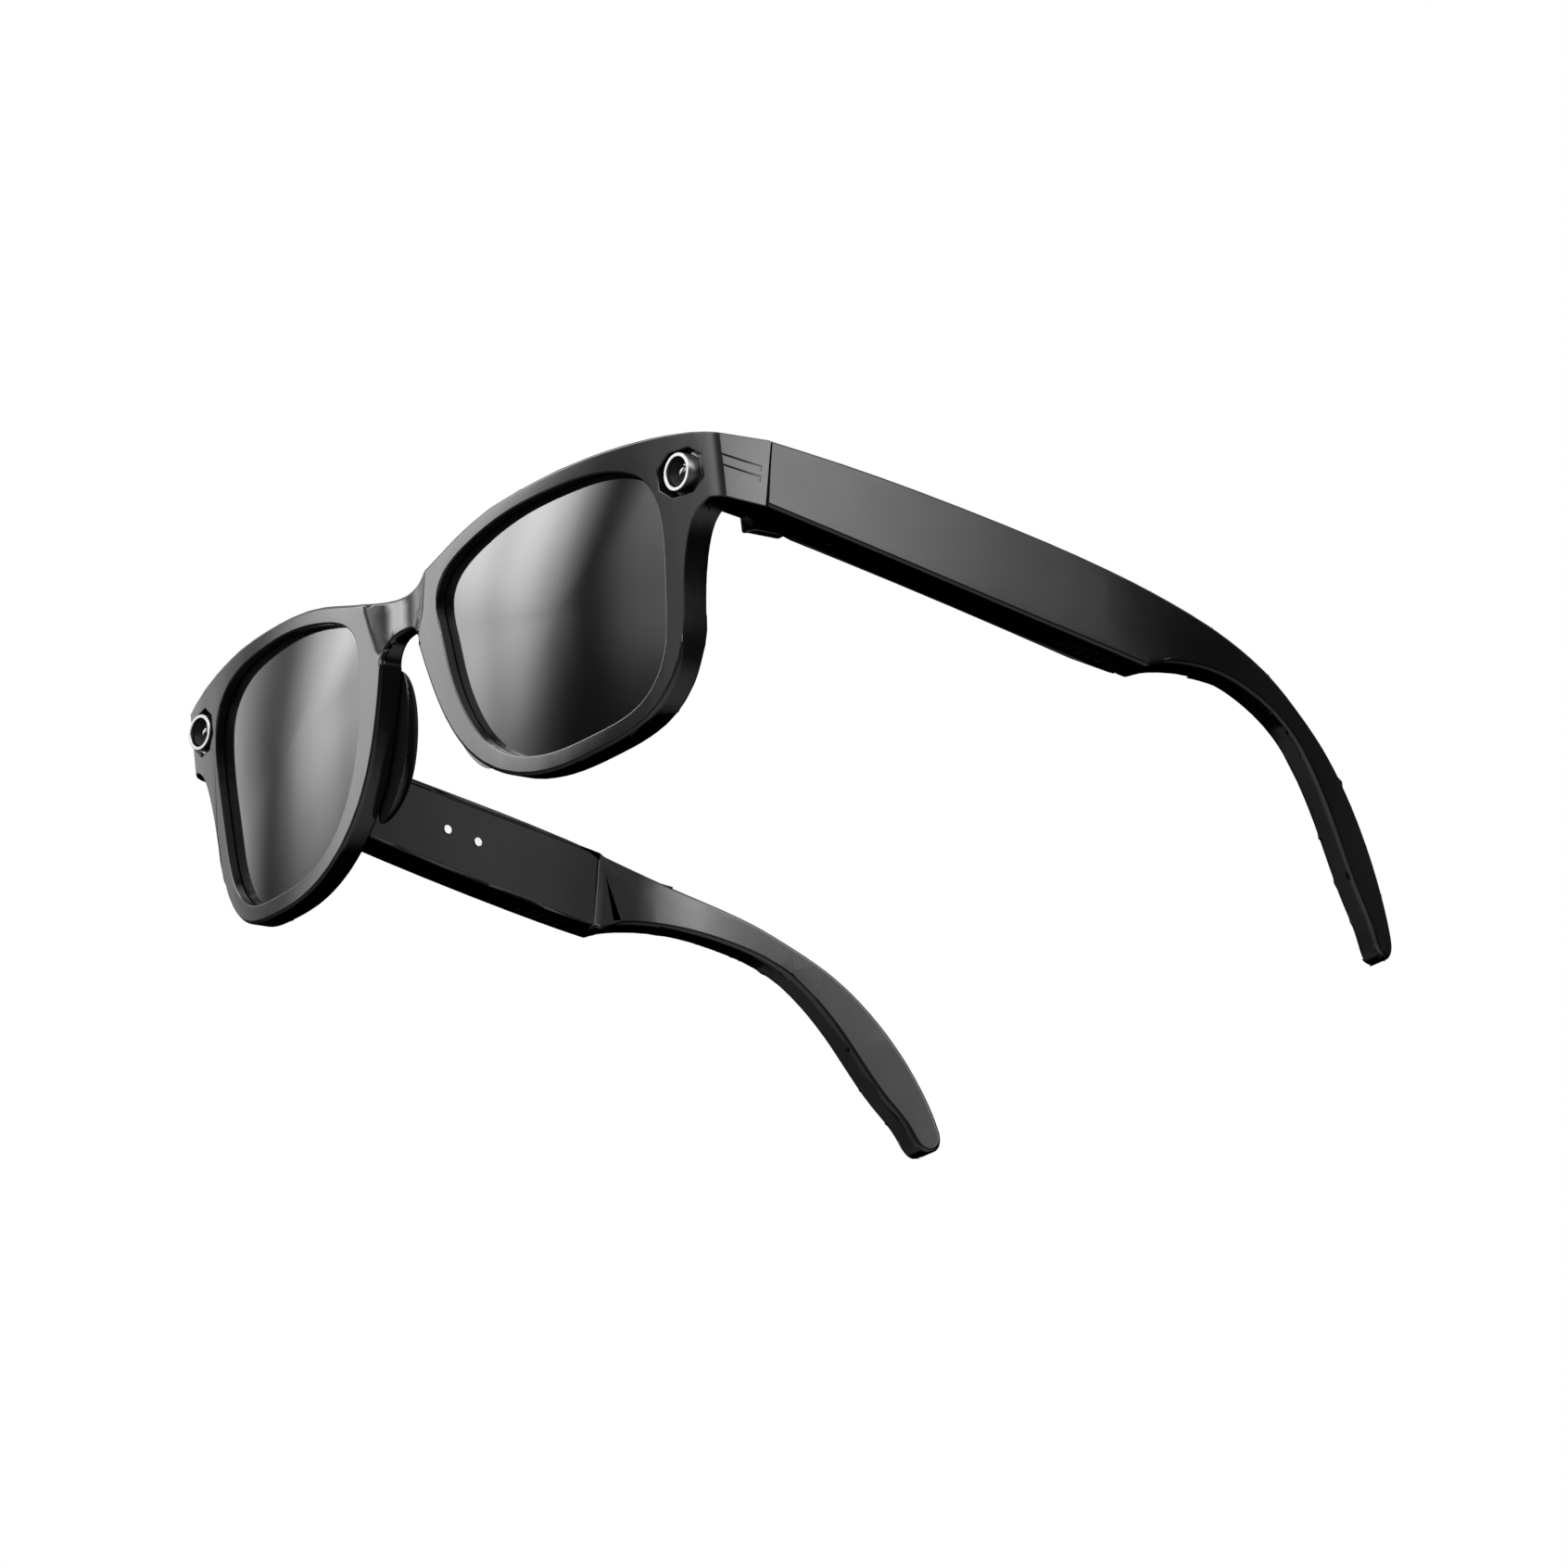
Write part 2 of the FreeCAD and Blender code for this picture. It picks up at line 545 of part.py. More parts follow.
def nose_pad():
    """Soft bulge on the back of the rim, beside the nose."""
    pad = Part.makeSphere(1.0)
    size = FreeCAD.Matrix()
    size.scale(*PAD_SIZE)
    pad = pad.transformGeometry(size)
    pad.rotate(Vector(0, 0, 0), Vector(0, 1, 0), -PAD_SLOPE)
    share = (EYE_TOP - PAD_HEIGHT) / LENS_HEIGHT
    edge = BRIDGE_GAP / 2 + NOSE_SPREAD * share ** 2
    x = edge - PAD_INSET
    pad.translate(Vector(x, wrap_y(x) + RIM_DEPTH, PAD_HEIGHT))
    behind = wrap_slab(RIM_DEPTH, RIM_DEPTH + 2 * PAD_SIZE[1], CORNER_X)
    return pad.common(behind).cut(outline_prism(eye_points()))


def bezel():
    """Octagonal insert whose facets fall from the front surface to the ring."""
    rear_y = CAMERA_Y + BEZEL_REAR
    outer = [Vector(p.x, wrap_y(p.x), p.z) for p in octagon(*BEZEL_HALF, 0)]
    seat = RING_RADIUS + FIT + RING_SEAT
    inner = octagon(seat, seat, CAMERA_Y + DISH_DEPTH)
    back = octagon(*BEZEL_HALF, rear_y)
    back_inner = octagon(seat, seat, rear_y)
    rings = [outer, inner, back_inner, back]
    faces = []
    for ring, following in zip(rings, rings[1:] + rings[:1]):
        for i in range(8):
            j = (i + 1) % 8
            a, b, c, d = ring[i], ring[j], following[j], following[i]
            faces.append(Part.Face(polygon([a, b, c])))
            faces.append(Part.Face(polygon([a, c, d])))
    solid = Part.Solid(Part.Shell(faces))
    if solid.Volume < 0:
        solid.reverse()
    plate = Part.Face(polygon(octagon(*BEZEL_HALF, rear_y - BEZEL_PLATE)))
    plate = plate.extrude(Vector(0, BEZEL_PLATE, 0))
    bore = along_y(RING_RADIUS + FIT, 0, HOUSING_REAR)
    return solid.fuse(plate).cut(bore).removeSplitter()


def camera_ring():
    bore = RING_RADIUS - RING_WALL
    ring = along_y(RING_RADIUS, RING_FACE, RING_FACE + RING_LENGTH)
    ring = ring.cut(along_y(bore, RING_FACE - 1, RING_FACE + FAR))
    edges = [e for e in ring.Edges if e.BoundBox.YLength < FIT and abs(e.BoundBox.YMin - RING_FACE) < FIT]
    return ring.makeChamfer(RING_CHAMFER, edges)


def camera_barrel():
    """Lens barrel: a nose inside the ring and a wider body behind it, with a flared mouth."""
    ring_end = RING_FACE + RING_LENGTH
    nose_front = RING_FACE + MOUTH_SETBACK
    nose_radius = RING_RADIUS - RING_WALL - FIT
    rear = CAMERA_Y + BEZEL_REAR + BARREL_LENGTH
    nose = along_y(nose_radius, nose_front, ring_end)
    body = along_y(BARREL_RADIUS, ring_end, rear)
    start = Vector(CAMERA_X, nose_front, CAMERA_HEIGHT)
    mouth = Part.makeCone(nose_radius - 0.2, APERTURE_RADIUS, MOUTH_DEPTH, start, Vector(0, 1, 0))
    seat_start = nose_front + MOUTH_DEPTH
    seat = along_y(CAMERA_LENS_RADIUS + FIT, seat_start, seat_start + CAMERA_LENS_LENGTH)
    light_path = along_y(APERTURE_RADIUS, nose_front, rear + 1)
    return nose.fuse(body).cut([mouth, seat, light_path])


def camera_lens():
    """Front lens: a flat disc in the barrel's seat with a domed front."""
    start = RING_FACE + MOUTH_SETBACK + MOUTH_DEPTH
    disc = along_y(CAMERA_LENS_RADIUS, start + 0.3, start + CAMERA_LENS_LENGTH)
    dome = Part.makeSphere(DOME_RADIUS, Vector(CAMERA_X, start + DOME_RADIUS - 0.25, CAMERA_HEIGHT))
    front = along_y(APERTURE_RADIUS - FIT, start - 1, start + 0.3)
    return disc.fuse(dome.common(front))


def camera_board():
    start = CAMERA_Y + BEZEL_REAR + BARREL_LENGTH + 0.1
    half_x, half_z = BOARD_HALF
    board = block(CAMERA_X - half_x, CAMERA_X + half_x, start, start + BOARD_THICKNESS,
                  CAMERA_HEIGHT - half_z, CAMERA_HEIGHT + half_z)
    return board


# ---------- hinge pieces, in the upright frame ----------

def knuckle_span(index):
    top = KNUCKLE_TOP - index * KNUCKLE_HEIGHT
    return top - KNUCKLE_HEIGHT + KNUCKLE_GAP / 2, top - KNUCKLE_GAP / 2


def hinge_low():
    return KNUCKLE_TOP - KNUCKLE_COUNT * KNUCKLE_HEIGHT


def hinge_clearance():
    """Round space that the knuckles turn in."""
    return upright(KNUCKLE_RADIUS + SWING_CLEARANCE, hinge_low() - FAR, KNUCKLE_TOP + 0.6, PIVOT_X, PIVOT_Y)


def leaf(mine, plate):
    """A hinge leaf: its plate, its own knuckles, and room for the other leaf's."""
    pieces = []
    cuts = [upright(HINGE_SCREW_RADIUS + HINGE_SCREW_CLEARANCE, -FAR, FAR, PIVOT_X, PIVOT_Y)]
    for index in range(KNUCKLE_COUNT):
        low, high = knuckle_span(index)
        if index % 2 == mine:
            pieces.append(upright(KNUCKLE_RADIUS, low, high, PIVOT_X, PIVOT_Y))
        else:
            room = KNUCKLE_RADIUS + SWING_CLEARANCE
            cuts.append(upright(room, low - KNUCKLE_GAP, high + KNUCKLE_GAP, PIVOT_X, PIVOT_Y))
    return plate.fuse(pieces).cut(cuts).removeSplitter()


def leaf_plate(start, end):
    low = knuckle_span(KNUCKLE_COUNT - 1)[0]
    high = knuckle_span(0)[1]
    return block(ARM_INNER_X - LEAF_THICKNESS, ARM_INNER_X, start, end, low, high)


def screw(radius, head_radius, head_height, length, base, along):
    """Countersunk screw whose head face stands at base and whose shank runs along."""
    head = Part.makeCone(head_radius, radius, head_height, base, along)
    shank = Part.makeCylinder(radius, length, base, along)
    return head.fuse(shank)


def front_leaf():
    plate = leaf_plate(PIVOT_Y - LEAF_FRONT_LENGTH, PIVOT_Y)
    return leaf(0, plate).cut(front_leaf_holes(FIT))


def leaf_screw_tool(z, y, grow):
    start = Vector(ARM_INNER_X - LEAF_THICKNESS, y, z)
    radius = LEAF_SCREW_RADIUS + grow
    head = radius + LEAF_SCREW_HEAD
    return screw(radius, head, LEAF_SCREW_HEAD, LEAF_SCREW_LENGTH + grow, start, Vector(1, 0, 0))


def front_leaf_holes(grow):
    y = PIVOT_Y - LEAF_FRONT_LENGTH + LEAF_SCREW_EDGE
    return [leaf_screw_tool(z, y, grow) for z in LEAF_SCREW_HEIGHTS]


def temple_leaf_holes(grow):
    y = PIVOT_Y + LEAF_LENGTH - LEAF_SCREW_EDGE
    return [leaf_screw_tool(z, y, grow) for z in LEAF_SCREW_HEIGHTS]


def temple_leaf():
    plate = leaf_plate(PIVOT_Y, PIVOT_Y + LEAF_LENGTH)
    return leaf(1, plate).cut(temple_leaf_holes(FIT))


def hinge_screw():
    low = hinge_low() + KNUCKLE_GAP
    seat = knuckle_span(0)[1] + CAP_GLUE
    top = KNUCKLE_TOP + SCREW_HEAD_HEIGHT
    shank = upright(HINGE_SCREW_RADIUS, low, seat + KNUCKLE_GAP, PIVOT_X, PIVOT_Y)
    head = upright(HINGE_SCREW_HEAD, seat, top, PIVOT_X, PIVOT_Y)
    half = SCREW_SLOT / 2
    across = 2 * HINGE_SCREW_HEAD
    slot = block(PIVOT_X - half, PIVOT_X + half, PIVOT_Y - across, PIVOT_Y + across, top - SCREW_SLOT,
                 top + FAR)
    return shank.fuse(head).cut(slot)


def hinge_cap():
    """Moulded cap over the temple leaf, on the temple's inner side."""
    outer = ARM_INNER_X - LEAF_THICKNESS - CAP_GLUE
    inner = outer - CAP_THICKNESS
    low = knuckle_span(KNUCKLE_COUNT - 1)[0] - CAP_DROP
    high = knuckle_span(0)[1] - CAP_TOP
    end = PIVOT_Y + LEAF_LENGTH + CAP_OVERLAP
    cap = block(inner, outer, PIVOT_Y + CAP_START, end, low, high)
    edges = [e for e in cap.Edges if abs(e.BoundBox.XMax - inner) < CAP_GLUE]
    return cap.makeChamfer(CAP_CHAMFER, edges).cut(hinge_clearance())


# ---------- temple pieces, in the temple frame ----------

def power_well(grow):
    """Outline of the power button from the side, over the whole thickness."""
    length, height = POWER_SIZE
    return block(0, 2 * FAR + PARTING_X, POWER_ALONG - length / 2 - grow, POWER_ALONG + length / 2 + grow,
                 POWER_HEIGHT - height / 2 - grow, POWER_HEIGHT + height / 2 + grow)


def capture_place():
    """Middle line of the capture button across, and the temple's top edge there."""
    across = face_x(CAPTURE_ALONG, TEMPLE_THICKNESS / 2)
    return across, STRAIGHT_TOP[1][1]


def rounded_block(length, width, low, high, x, along):
    """A bar with round ends, lying along the temple."""
    radius = width / 2
    bar = block(x - radius, x + radius, along - length / 2 + radius, along + length / 2 - radius, low, high)
    ends = [upright(radius, low, high, x, along + s * (length / 2 - radius)) for s in (-1, 1)]
    return bar.fuse(ends).removeSplitter()


def capture_floor():
    """Underside of the capture button's flange."""
    return capture_place()[1] - BAY_WALL - BUTTON_TRAVEL - BUTTON_FLANGE


def capture_button():
    x, top = capture_place()
    length, width = CAPTURE_SIZE
    floor = capture_floor()
    wide = 2 * FLANGE_REACH
    stem = rounded_block(length, width, floor, top + BUTTON_PROUD, x, CAPTURE_ALONG)
    flange = rounded_block(length + wide, width + wide, floor, floor + BUTTON_FLANGE - BUTTON_PLAY, x,
                           CAPTURE_ALONG)
    return stem.fuse(flange).removeSplitter()


def capture_well():
    """Hole for the button and the space that its flange travels in."""
    x, top = capture_place()
    length, width = CAPTURE_SIZE
    grow = 2 * BUTTON_CLEARANCE
    wide = 2 * FLANGE_REACH + grow
    low = capture_floor() - BUTTON_TRAVEL - SWITCH_THICKNESS - 2 * BUTTON_PLAY
    hole = rounded_block(length + grow, width + grow, low, top + FAR, x, CAPTURE_ALONG)
    ceiling = top - BAY_WALL - BUTTON_TRAVEL + BUTTON_CLEARANCE
    space = rounded_block(length + wide, width + wide, low, ceiling, x, CAPTURE_ALONG)
    return [hole, space]


def capture_switch():
    x, top = capture_place()
    high = capture_floor() - BUTTON_TRAVEL - BUTTON_PLAY
    across, along = SWITCH_SIZE[0] / 2, SWITCH_SIZE[1] / 2
    return block(x - across, x + across, CAPTURE_ALONG - along, CAPTURE_ALONG + along,
                 high - SWITCH_THICKNESS, high)


def temple_full():
    return side_profile().common(plan_band(0, 0))


def core_points(trim):
    """Top and bottom lines of the core inside the hook."""
    first, last = CORE_SHARES
    tops = [STRAIGHT_TOP[-1]] + [hook_place(p) for p in HOOK_TOP]
    unders = [hook_place(p) for p in reversed(HOOK_BOTTOM)] + [hook_place(HOOK_TIP[-1])]
    line = []
    for k in range(9):
        along = STRAIGHT_LENGTH + (first + (last - first) * k / 8) * HOOK_LENGTH
        line.append((along, (height_at(tops, along) + height_at(unders, along)) / 2))
    half = CORE_WIDTH / 2 + trim
    upper = []
    lower = []
    for k, (s, t) in enumerate(line):
        before = line[max(k - 1, 0)]
        after = line[min(k + 1, len(line) - 1)]
        run, rise = after[0] - before[0], after[1] - before[1]
        size = math.hypot(run, rise)
        upper.append(Vector(0, s - half * rise / size, t + half * run / size))
        lower.append(Vector(0, s + half * rise / size, t - half * run / size))
    return upper, lower


def height_at(points, along):
    for (a, ha), (b, hb) in zip(points, points[1:]):
        if along <= b:
            return ha + (hb - ha) * (along - a) / (b - a)
    return points[-1][1]


def core(trim=0.0):
    """Flat spring core of the hook."""
    upper, lower = core_points(trim)
    edges = [spline(upper).toShape(), spline(lower).toShape(), Part.makeLine(upper[0], lower[0]),
             Part.makeLine(upper[-1], lower[-1])]
    side = prism(edges, Vector(2 * FAR + PARTING_X, 0, 0))
    depth = (HOOK_THICKNESS - CORE_THICKNESS) / 2 - trim
    return side.common(plan_band(depth, depth))


def bay_floor():
    return BAY_WALL - TEMPLE_HEIGHT + 0.1


def item(place, height_low, gap=WALL_GAP):
    """A plain inner piece that stands off the bay's outer wall."""
    start, end, thick, height = place
    outer = min(face_x(start, BAY_WALL), face_x(end, BAY_WALL)) - gap
    return block(outer - thick, outer, start, end, height_low, height_low + height)


def sound_slots():
    start, end = SPEAKER[0], SPEAKER[1]
    middle = (start + end) / 2
    x = face_x(middle, TEMPLE_THICKNESS / 2)
    width, length = SLOT_SIZE
    slots = []
    for k in range(SLOT_COUNT):
        along = middle + (k - (SLOT_COUNT - 1) / 2) * SLOT_PITCH
        slots.append(block(x - length / 2, x + length / 2, along - width / 2, along + width / 2,
                           -TEMPLE_HEIGHT - 3, bay_floor() + 0.1))
    return slots


def speaker_mesh():
    width, length, height = MESH_SIZE
    middle = (SPEAKER[0] + SPEAKER[1]) / 2
    x = face_x(middle, TEMPLE_THICKNESS / 2)
    low = bay_floor() + FLOOR_GAP
    return block(x - width / 2, x + width / 2, middle - length / 2, middle + length / 2, low, low + height)


def microphone():
    length, width, height = MIC_SIZE
    x = face_x(MIC_ALONG, TEMPLE_THICKNESS / 2)
    low = bay_floor() + FLOOR_GAP
    return block(x - width / 2, x + width / 2, MIC_ALONG - length / 2, MIC_ALONG + length / 2, low,
                 low + height)


def circuit_board():
    low = bay_floor() + BOARD_RISE
    plate = item(BOARD, low, BOARD_WALL_GAP)
    chips = []
    face = plate.BoundBox.XMin
    for k, (size_s, size_t, tall) in enumerate(CHIPS):
        along = BOARD[0] + CHIP_MARGIN + CHIP_PITCH * k
        foot = low + CHIP_MARGIN
        chips.append(block(face - tall, face, along, along + size_s, foot, foot + size_t))
    return plate.fuse(chips).removeSplitter()


def temple_cover(right):
    skin = plan_band(0, 0).cut(plan_band(-FAR, COVER_THICKNESS))
    cover = bay_polygon(COVER_LEDGE).common(skin)
    if right:
        holes = [pin_tool(along, FIT) for along in PIN_ALONG]
        return cover.cut(holes)
    return cover.cut(power_well(BUTTON_CLEARANCE))


def pin_tool(along, grow):
    face = inner_x(along) - PIN_PROUD
    length = COVER_THICKNESS + PIN_PROUD + PIN_TAIL
    return Part.makeCylinder(PIN_RADIUS + grow, length, Vector(face, along, PIN_HEIGHT), Vector(1, 0, 0))


def magnet(along):
    start = Vector(inner_x(along) + COVER_THICKNESS + MAGNET_GAP, along, PIN_HEIGHT)
    return Part.makeCylinder(MAGNET_RADIUS, MAGNET_LENGTH, start, Vector(1, 0, 0))


def power_plate(start, end, reach):
    """A plate with the power button's outline, grown all round."""
    return power_well(reach).common(block(start, end, 0, 2 * FAR, -FAR, FAR))


def power_button():
    face = inner_x(POWER_ALONG)
    back = face + COVER_THICKNESS + WALL_GAP
    stem = power_plate(face - BUTTON_PROUD, back, 0)
    return stem.fuse(power_plate(back, back + BUTTON_FLANGE - BUTTON_PLAY, FLANGE_REACH)).removeSplitter()


def power_switch():
    thickness, side = POWER_SWITCH
    half = side / 2
    back = inner_x(POWER_ALONG) + COVER_THICKNESS + WALL_GAP + BUTTON_FLANGE + BUTTON_TRAVEL
    return block(back, back + thickness, POWER_ALONG - half, POWER_ALONG + half, POWER_HEIGHT - half,
                 POWER_HEIGHT + half)


def touch_sensor():
    """Thin touch film on the inside of the outer wall."""
    film = block(0, 2 * FAR + PARTING_X, BATTERY[0], BATTERY[1], *TOUCH_BAND)
    depth = BAY_WALL + FLOOR_GAP
    band = plan_band(depth, 0).cut(plan_band(depth + TOUCH_THICKNESS, -1.0))
    return film.common(band)


def temple_shell(right):
    shell = temple_full()
    bay = bay_polygon(0).common(plan_band(BAY_WALL, -1.0))
    rebate = bay_polygon(COVER_LEDGE + COVER_CLEARANCE).cut(plan_band(-FAR, COVER_THICKNESS))
    cuts = [bay, rebate, core(FIT)] + sound_slots()
    x = face_x(MIC_ALONG, TEMPLE_THICKNESS / 2)
    cuts.append(upright(MIC_HOLE, -2 * FAR, bay_floor() + 0.1, x, MIC_ALONG))
    if right:
        cuts += capture_well()
    return shell.cut(cuts)


def build_temple(right):
    """All pieces of one temple, drawn for the wearer's left, in the upright frame."""
    low = bay_floor()
    shell = to_temple(temple_shell(right))
    shell = shell.cut([hinge_clearance()] + temple_leaf_holes(FIT)).removeSplitter()
    pieces = {
        "temple_shell": shell,
        "temple_cover": to_temple(temple_cover(right)),
        "hinge_cap": hinge_cap(),
        "temple_hinge_leaf": temple_leaf(),
        "temple_leaf_screws": Part.makeCompound(temple_leaf_holes(0)),
        "battery": to_temple(item(BATTERY, low + BATTERY_RISE)),
        "circuit_board": to_temple(circuit_board()),
        "speaker": to_temple(item(SPEAKER, low + SPEAKER_RISE)),
        "speaker_mesh": to_temple(speaker_mesh()),
        "microphone": to_temple(microphone()),
        "hook_core": to_temple(core()),
    }
    if right:
        pieces["charging_pins"] = to_temple(Part.makeCompound([pin_tool(a, 0) for a in PIN_ALONG]))
        pieces["charging_magnets"] = to_temple(Part.makeCompound([magnet(a) for a in MAGNET_ALONG]))
        pieces["capture_button"] = to_temple(capture_button())
        pieces["capture_switch"] = to_temple(capture_switch())
        pieces["touch_sensor"] = to_temple(touch_sensor())
    else:
        pieces["power_button"] = to_temple(power_button())
        pieces["power_switch"] = to_temple(power_switch())
    return pieces


def build_front():
    outline = front_outline()
    frame = front_frame(outline)
    strip = channel_band(FLEX_MARGIN, EYE_EDGE)
    flex_front = CHANNEL_FLOOR + FIT
    flex = strip.common(wrap_slab(flex_front, flex_front + FLEX_THICKNESS, CORNER_X))
    lid = channel_band(FIT, EYE_EDGE)
    lid = lid.common(wrap_slab(RIM_DEPTH - BROW_COVER_THICKNESS, RIM_DEPTH, CORNER_X))
    nodes = {"front_frame": frame, "front_flex_cable": flex, "brow_cover": lid}
    sided = {
        "lens": lens_blank(),
        "nose_pad": nose_pad(),
        "camera_bezel": bezel(),
        "camera_ring": camera_ring(),
        "camera_barrel": camera_barrel(),
        "camera_lens": camera_lens(),
        "camera_board": camera_board(),
        "front_hinge_leaf": front_leaf(),
        "hinge_screw": hinge_screw(),
    }
    for name, shape in sided.items():
        nodes[name + "_left"] = shape
        nodes[name + "_right"] = mirrored(shape)
    screws = front_leaf_holes(0)
    nodes["front_leaf_screws"] = Part.makeCompound(screws + [mirrored(s) for s in screws])
    return nodes


def lowest(shape, angle):
    turned = shape.copy()
    turned.rotate(Vector(0, 0, 0), Vector(1, 0, 0), angle)
    return turned.optimalBoundingBox(False).ZMin


def rest_angle(front, temple):
    """Tilt that brings the rims and the temple tips down to one level."""
    low, high = 0.0, 20.0
    for _ in range(16):
        middle = (low + high) / 2
        if lowest(temple, middle) < lowest(front, middle):
            low = middle
        else:
            high = middle
    return (low + high) / 2


SINGLE = ("charging_pins", "charging_magnets", "capture_button", "capture_switch", "touch_sensor",
          "power_button", "power_switch")
nodes = build_front()
for side in ("left", "right"):
    for piece_name, piece in build_temple(side == "right").items():
        node = piece_name if piece_name in SINGLE else piece_name + "_" + side
        nodes[node] = mirrored(piece) if side == "right" else piece

tilt = rest_angle(nodes["front_frame"], nodes["temple_shell_left"])
for shape in nodes.values():
    shape.rotate(Vector(0, 0, 0), Vector(1, 0, 0), tilt)
box = Part.makeCompound(list(nodes.values())).optimalBoundingBox(False)
shift = Vector(-(box.XMin + box.XMax) / 2, -(box.YMin + box.YMax) / 2, -box.ZMin)
for node, shape in nodes.items():
    shape.translate(shift)
    shape.exportStep("parts/" + node + ".step")


def rested(point):
    """A point of the upright frame as it lies in the finished object."""
    turn = FreeCAD.Rotation(Vector(1, 0, 0), tilt)
    return turn.multVec(point) + shift


hinge_line = FreeCAD.Rotation(Vector(1, 0, 0), tilt).multVec(Vector(0, 0, 1))
print("nodes", len(nodes), "tilt", round(tilt, 3), "box", round(box.XLength, 2), round(box.YLength, 2),
      round(box.ZLength, 2))
print("hinge left at", rested(Vector(PIVOT_X, PIVOT_Y, KNUCKLE_TOP)), "along", hinge_line)
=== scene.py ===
import bmesh
import bpy
import json
import math
from mathutils import Matrix, Vector
from mathutils.bvhtree import BVHTree
from mathutils.kdtree import KDTree


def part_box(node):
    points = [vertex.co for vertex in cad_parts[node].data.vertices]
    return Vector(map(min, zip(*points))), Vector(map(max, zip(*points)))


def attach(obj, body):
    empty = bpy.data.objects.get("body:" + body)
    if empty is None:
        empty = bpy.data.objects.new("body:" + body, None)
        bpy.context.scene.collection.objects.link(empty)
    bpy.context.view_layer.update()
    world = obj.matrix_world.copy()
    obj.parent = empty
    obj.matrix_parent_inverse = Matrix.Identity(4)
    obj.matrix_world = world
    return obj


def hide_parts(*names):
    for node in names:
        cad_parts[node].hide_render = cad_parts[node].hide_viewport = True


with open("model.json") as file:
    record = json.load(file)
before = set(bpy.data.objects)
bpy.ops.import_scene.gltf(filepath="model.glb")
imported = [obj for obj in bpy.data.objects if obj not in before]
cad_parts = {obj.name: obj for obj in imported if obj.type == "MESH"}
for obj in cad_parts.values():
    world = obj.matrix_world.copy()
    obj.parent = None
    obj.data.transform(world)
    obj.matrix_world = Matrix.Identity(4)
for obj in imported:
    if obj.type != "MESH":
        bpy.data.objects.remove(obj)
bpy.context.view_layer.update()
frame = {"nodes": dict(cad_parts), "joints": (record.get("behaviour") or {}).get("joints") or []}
nodes = frame["nodes"]

# ---------- Front ----------
# The front of the glasses is one injection-moulded piece of black plastic, polished to a high gloss. Its
# rims, bridge and hinged end pieces are one body. The outer edges carry a full moulded radius, and the eye
# openings, camera pockets and engraved lines a much finer one.

MM = 0.001
EDGE_BENT = 0.53        # pointiness where the rubbed edge begins, and where it is full
EDGE_FULL = 0.66
RUBBED_LIFT = 1.8       # a rubbed edge is this much lighter
GRAIN_DEPTH = 0.02


def finish(name, dark, light, rough, flow=45.0, grain=900.0, relief=0.1, stretch=(1, 1, 1), metal=0.0,
           ior=1.5, worn=0.6):
    """A made surface: slow changes in tone and polish, a fine grain in relief, and lighter rubbed edges."""
    m = bpy.data.materials.new(name)
    m.use_nodes = True
    tree = m.node_tree
    link = tree.links.new
    shader = tree.nodes["Principled BSDF"]
    shader.inputs["IOR"].default_value = ior
    shader.inputs["Metallic"].default_value = metal
    place = tree.nodes.new("ShaderNodeTexCoord")
    turned = tree.nodes.new("ShaderNodeMapping")
    turned.inputs["Scale"].default_value = stretch
    slow = tree.nodes.new("ShaderNodeTexNoise")
    slow.inputs["Scale"].default_value = flow
    slow.inputs["Detail"].default_value = 4.0
    fine = tree.nodes.new("ShaderNodeTexNoise")
    fine.inputs["Scale"].default_value = grain
    fine.inputs["Detail"].default_value = 2.0
    polish = tree.nodes.new("ShaderNodeMapRange")
    polish.inputs["From Min"].default_value = 0.3
    polish.inputs["From Max"].default_value = 0.7
    polish.inputs["To Min"].default_value = rough[0]
    polish.inputs["To Max"].default_value = rough[1]
    tone = tree.nodes.new("ShaderNodeValToRGB")
    tone.color_ramp.elements[0].position = 0.35
    tone.color_ramp.elements[0].color = (*dark, 1)
    tone.color_ramp.elements[1].position = 0.65
    tone.color_ramp.elements[1].color = (*light, 1)
    shape = tree.nodes.new("ShaderNodeNewGeometry")
    rub = tree.nodes.new("ShaderNodeMapRange")
    rub.inputs["From Min"].default_value = EDGE_BENT
    rub.inputs["From Max"].default_value = EDGE_FULL
    rub.inputs["To Max"].default_value = worn
    edge = tree.nodes.new("ShaderNodeMix")
    edge.data_type = "RGBA"
    edge.inputs[7].default_value = (*(min(c * RUBBED_LIFT, 1.0) for c in light), 1)
    bump = tree.nodes.new("ShaderNodeBump")
    bump.inputs["Strength"].default_value = relief
    bump.inputs["Distance"].default_value = GRAIN_DEPTH * MM
    link(place.outputs["Object"], turned.inputs["Vector"])
    link(turned.outputs["Vector"], slow.inputs["Vector"])
    link(turned.outputs["Vector"], fine.inputs["Vector"])
    link(slow.outputs["Fac"], polish.inputs["Value"])
    link(polish.outputs["Result"], shader.inputs["Roughness"])
    link(slow.outputs["Fac"], tone.inputs["Fac"])
    link(shape.outputs["Pointiness"], rub.inputs["Value"])
    link(rub.outputs["Result"], edge.inputs["Factor"])
    link(tone.outputs["Color"], edge.inputs[6])
    link(edge.outputs[2], shader.inputs["Base Color"])
    link(fine.outputs["Fac"], bump.inputs["Height"])
    link(bump.outputs["Normal"], shader.inputs["Normal"])
    return m


def place_piece(name, mesh, material, body, slot, *replaced):
    """Puts a mesh into the scene as a finished piece that rides on a body."""
    piece = bpy.data.objects.new(name, mesh)
    bpy.context.scene.collection.objects.link(piece)
    mesh.materials.clear()
    mesh.materials.append(material)
    if replaced:
        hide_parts(*replaced)
    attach(piece, body)
    return piece


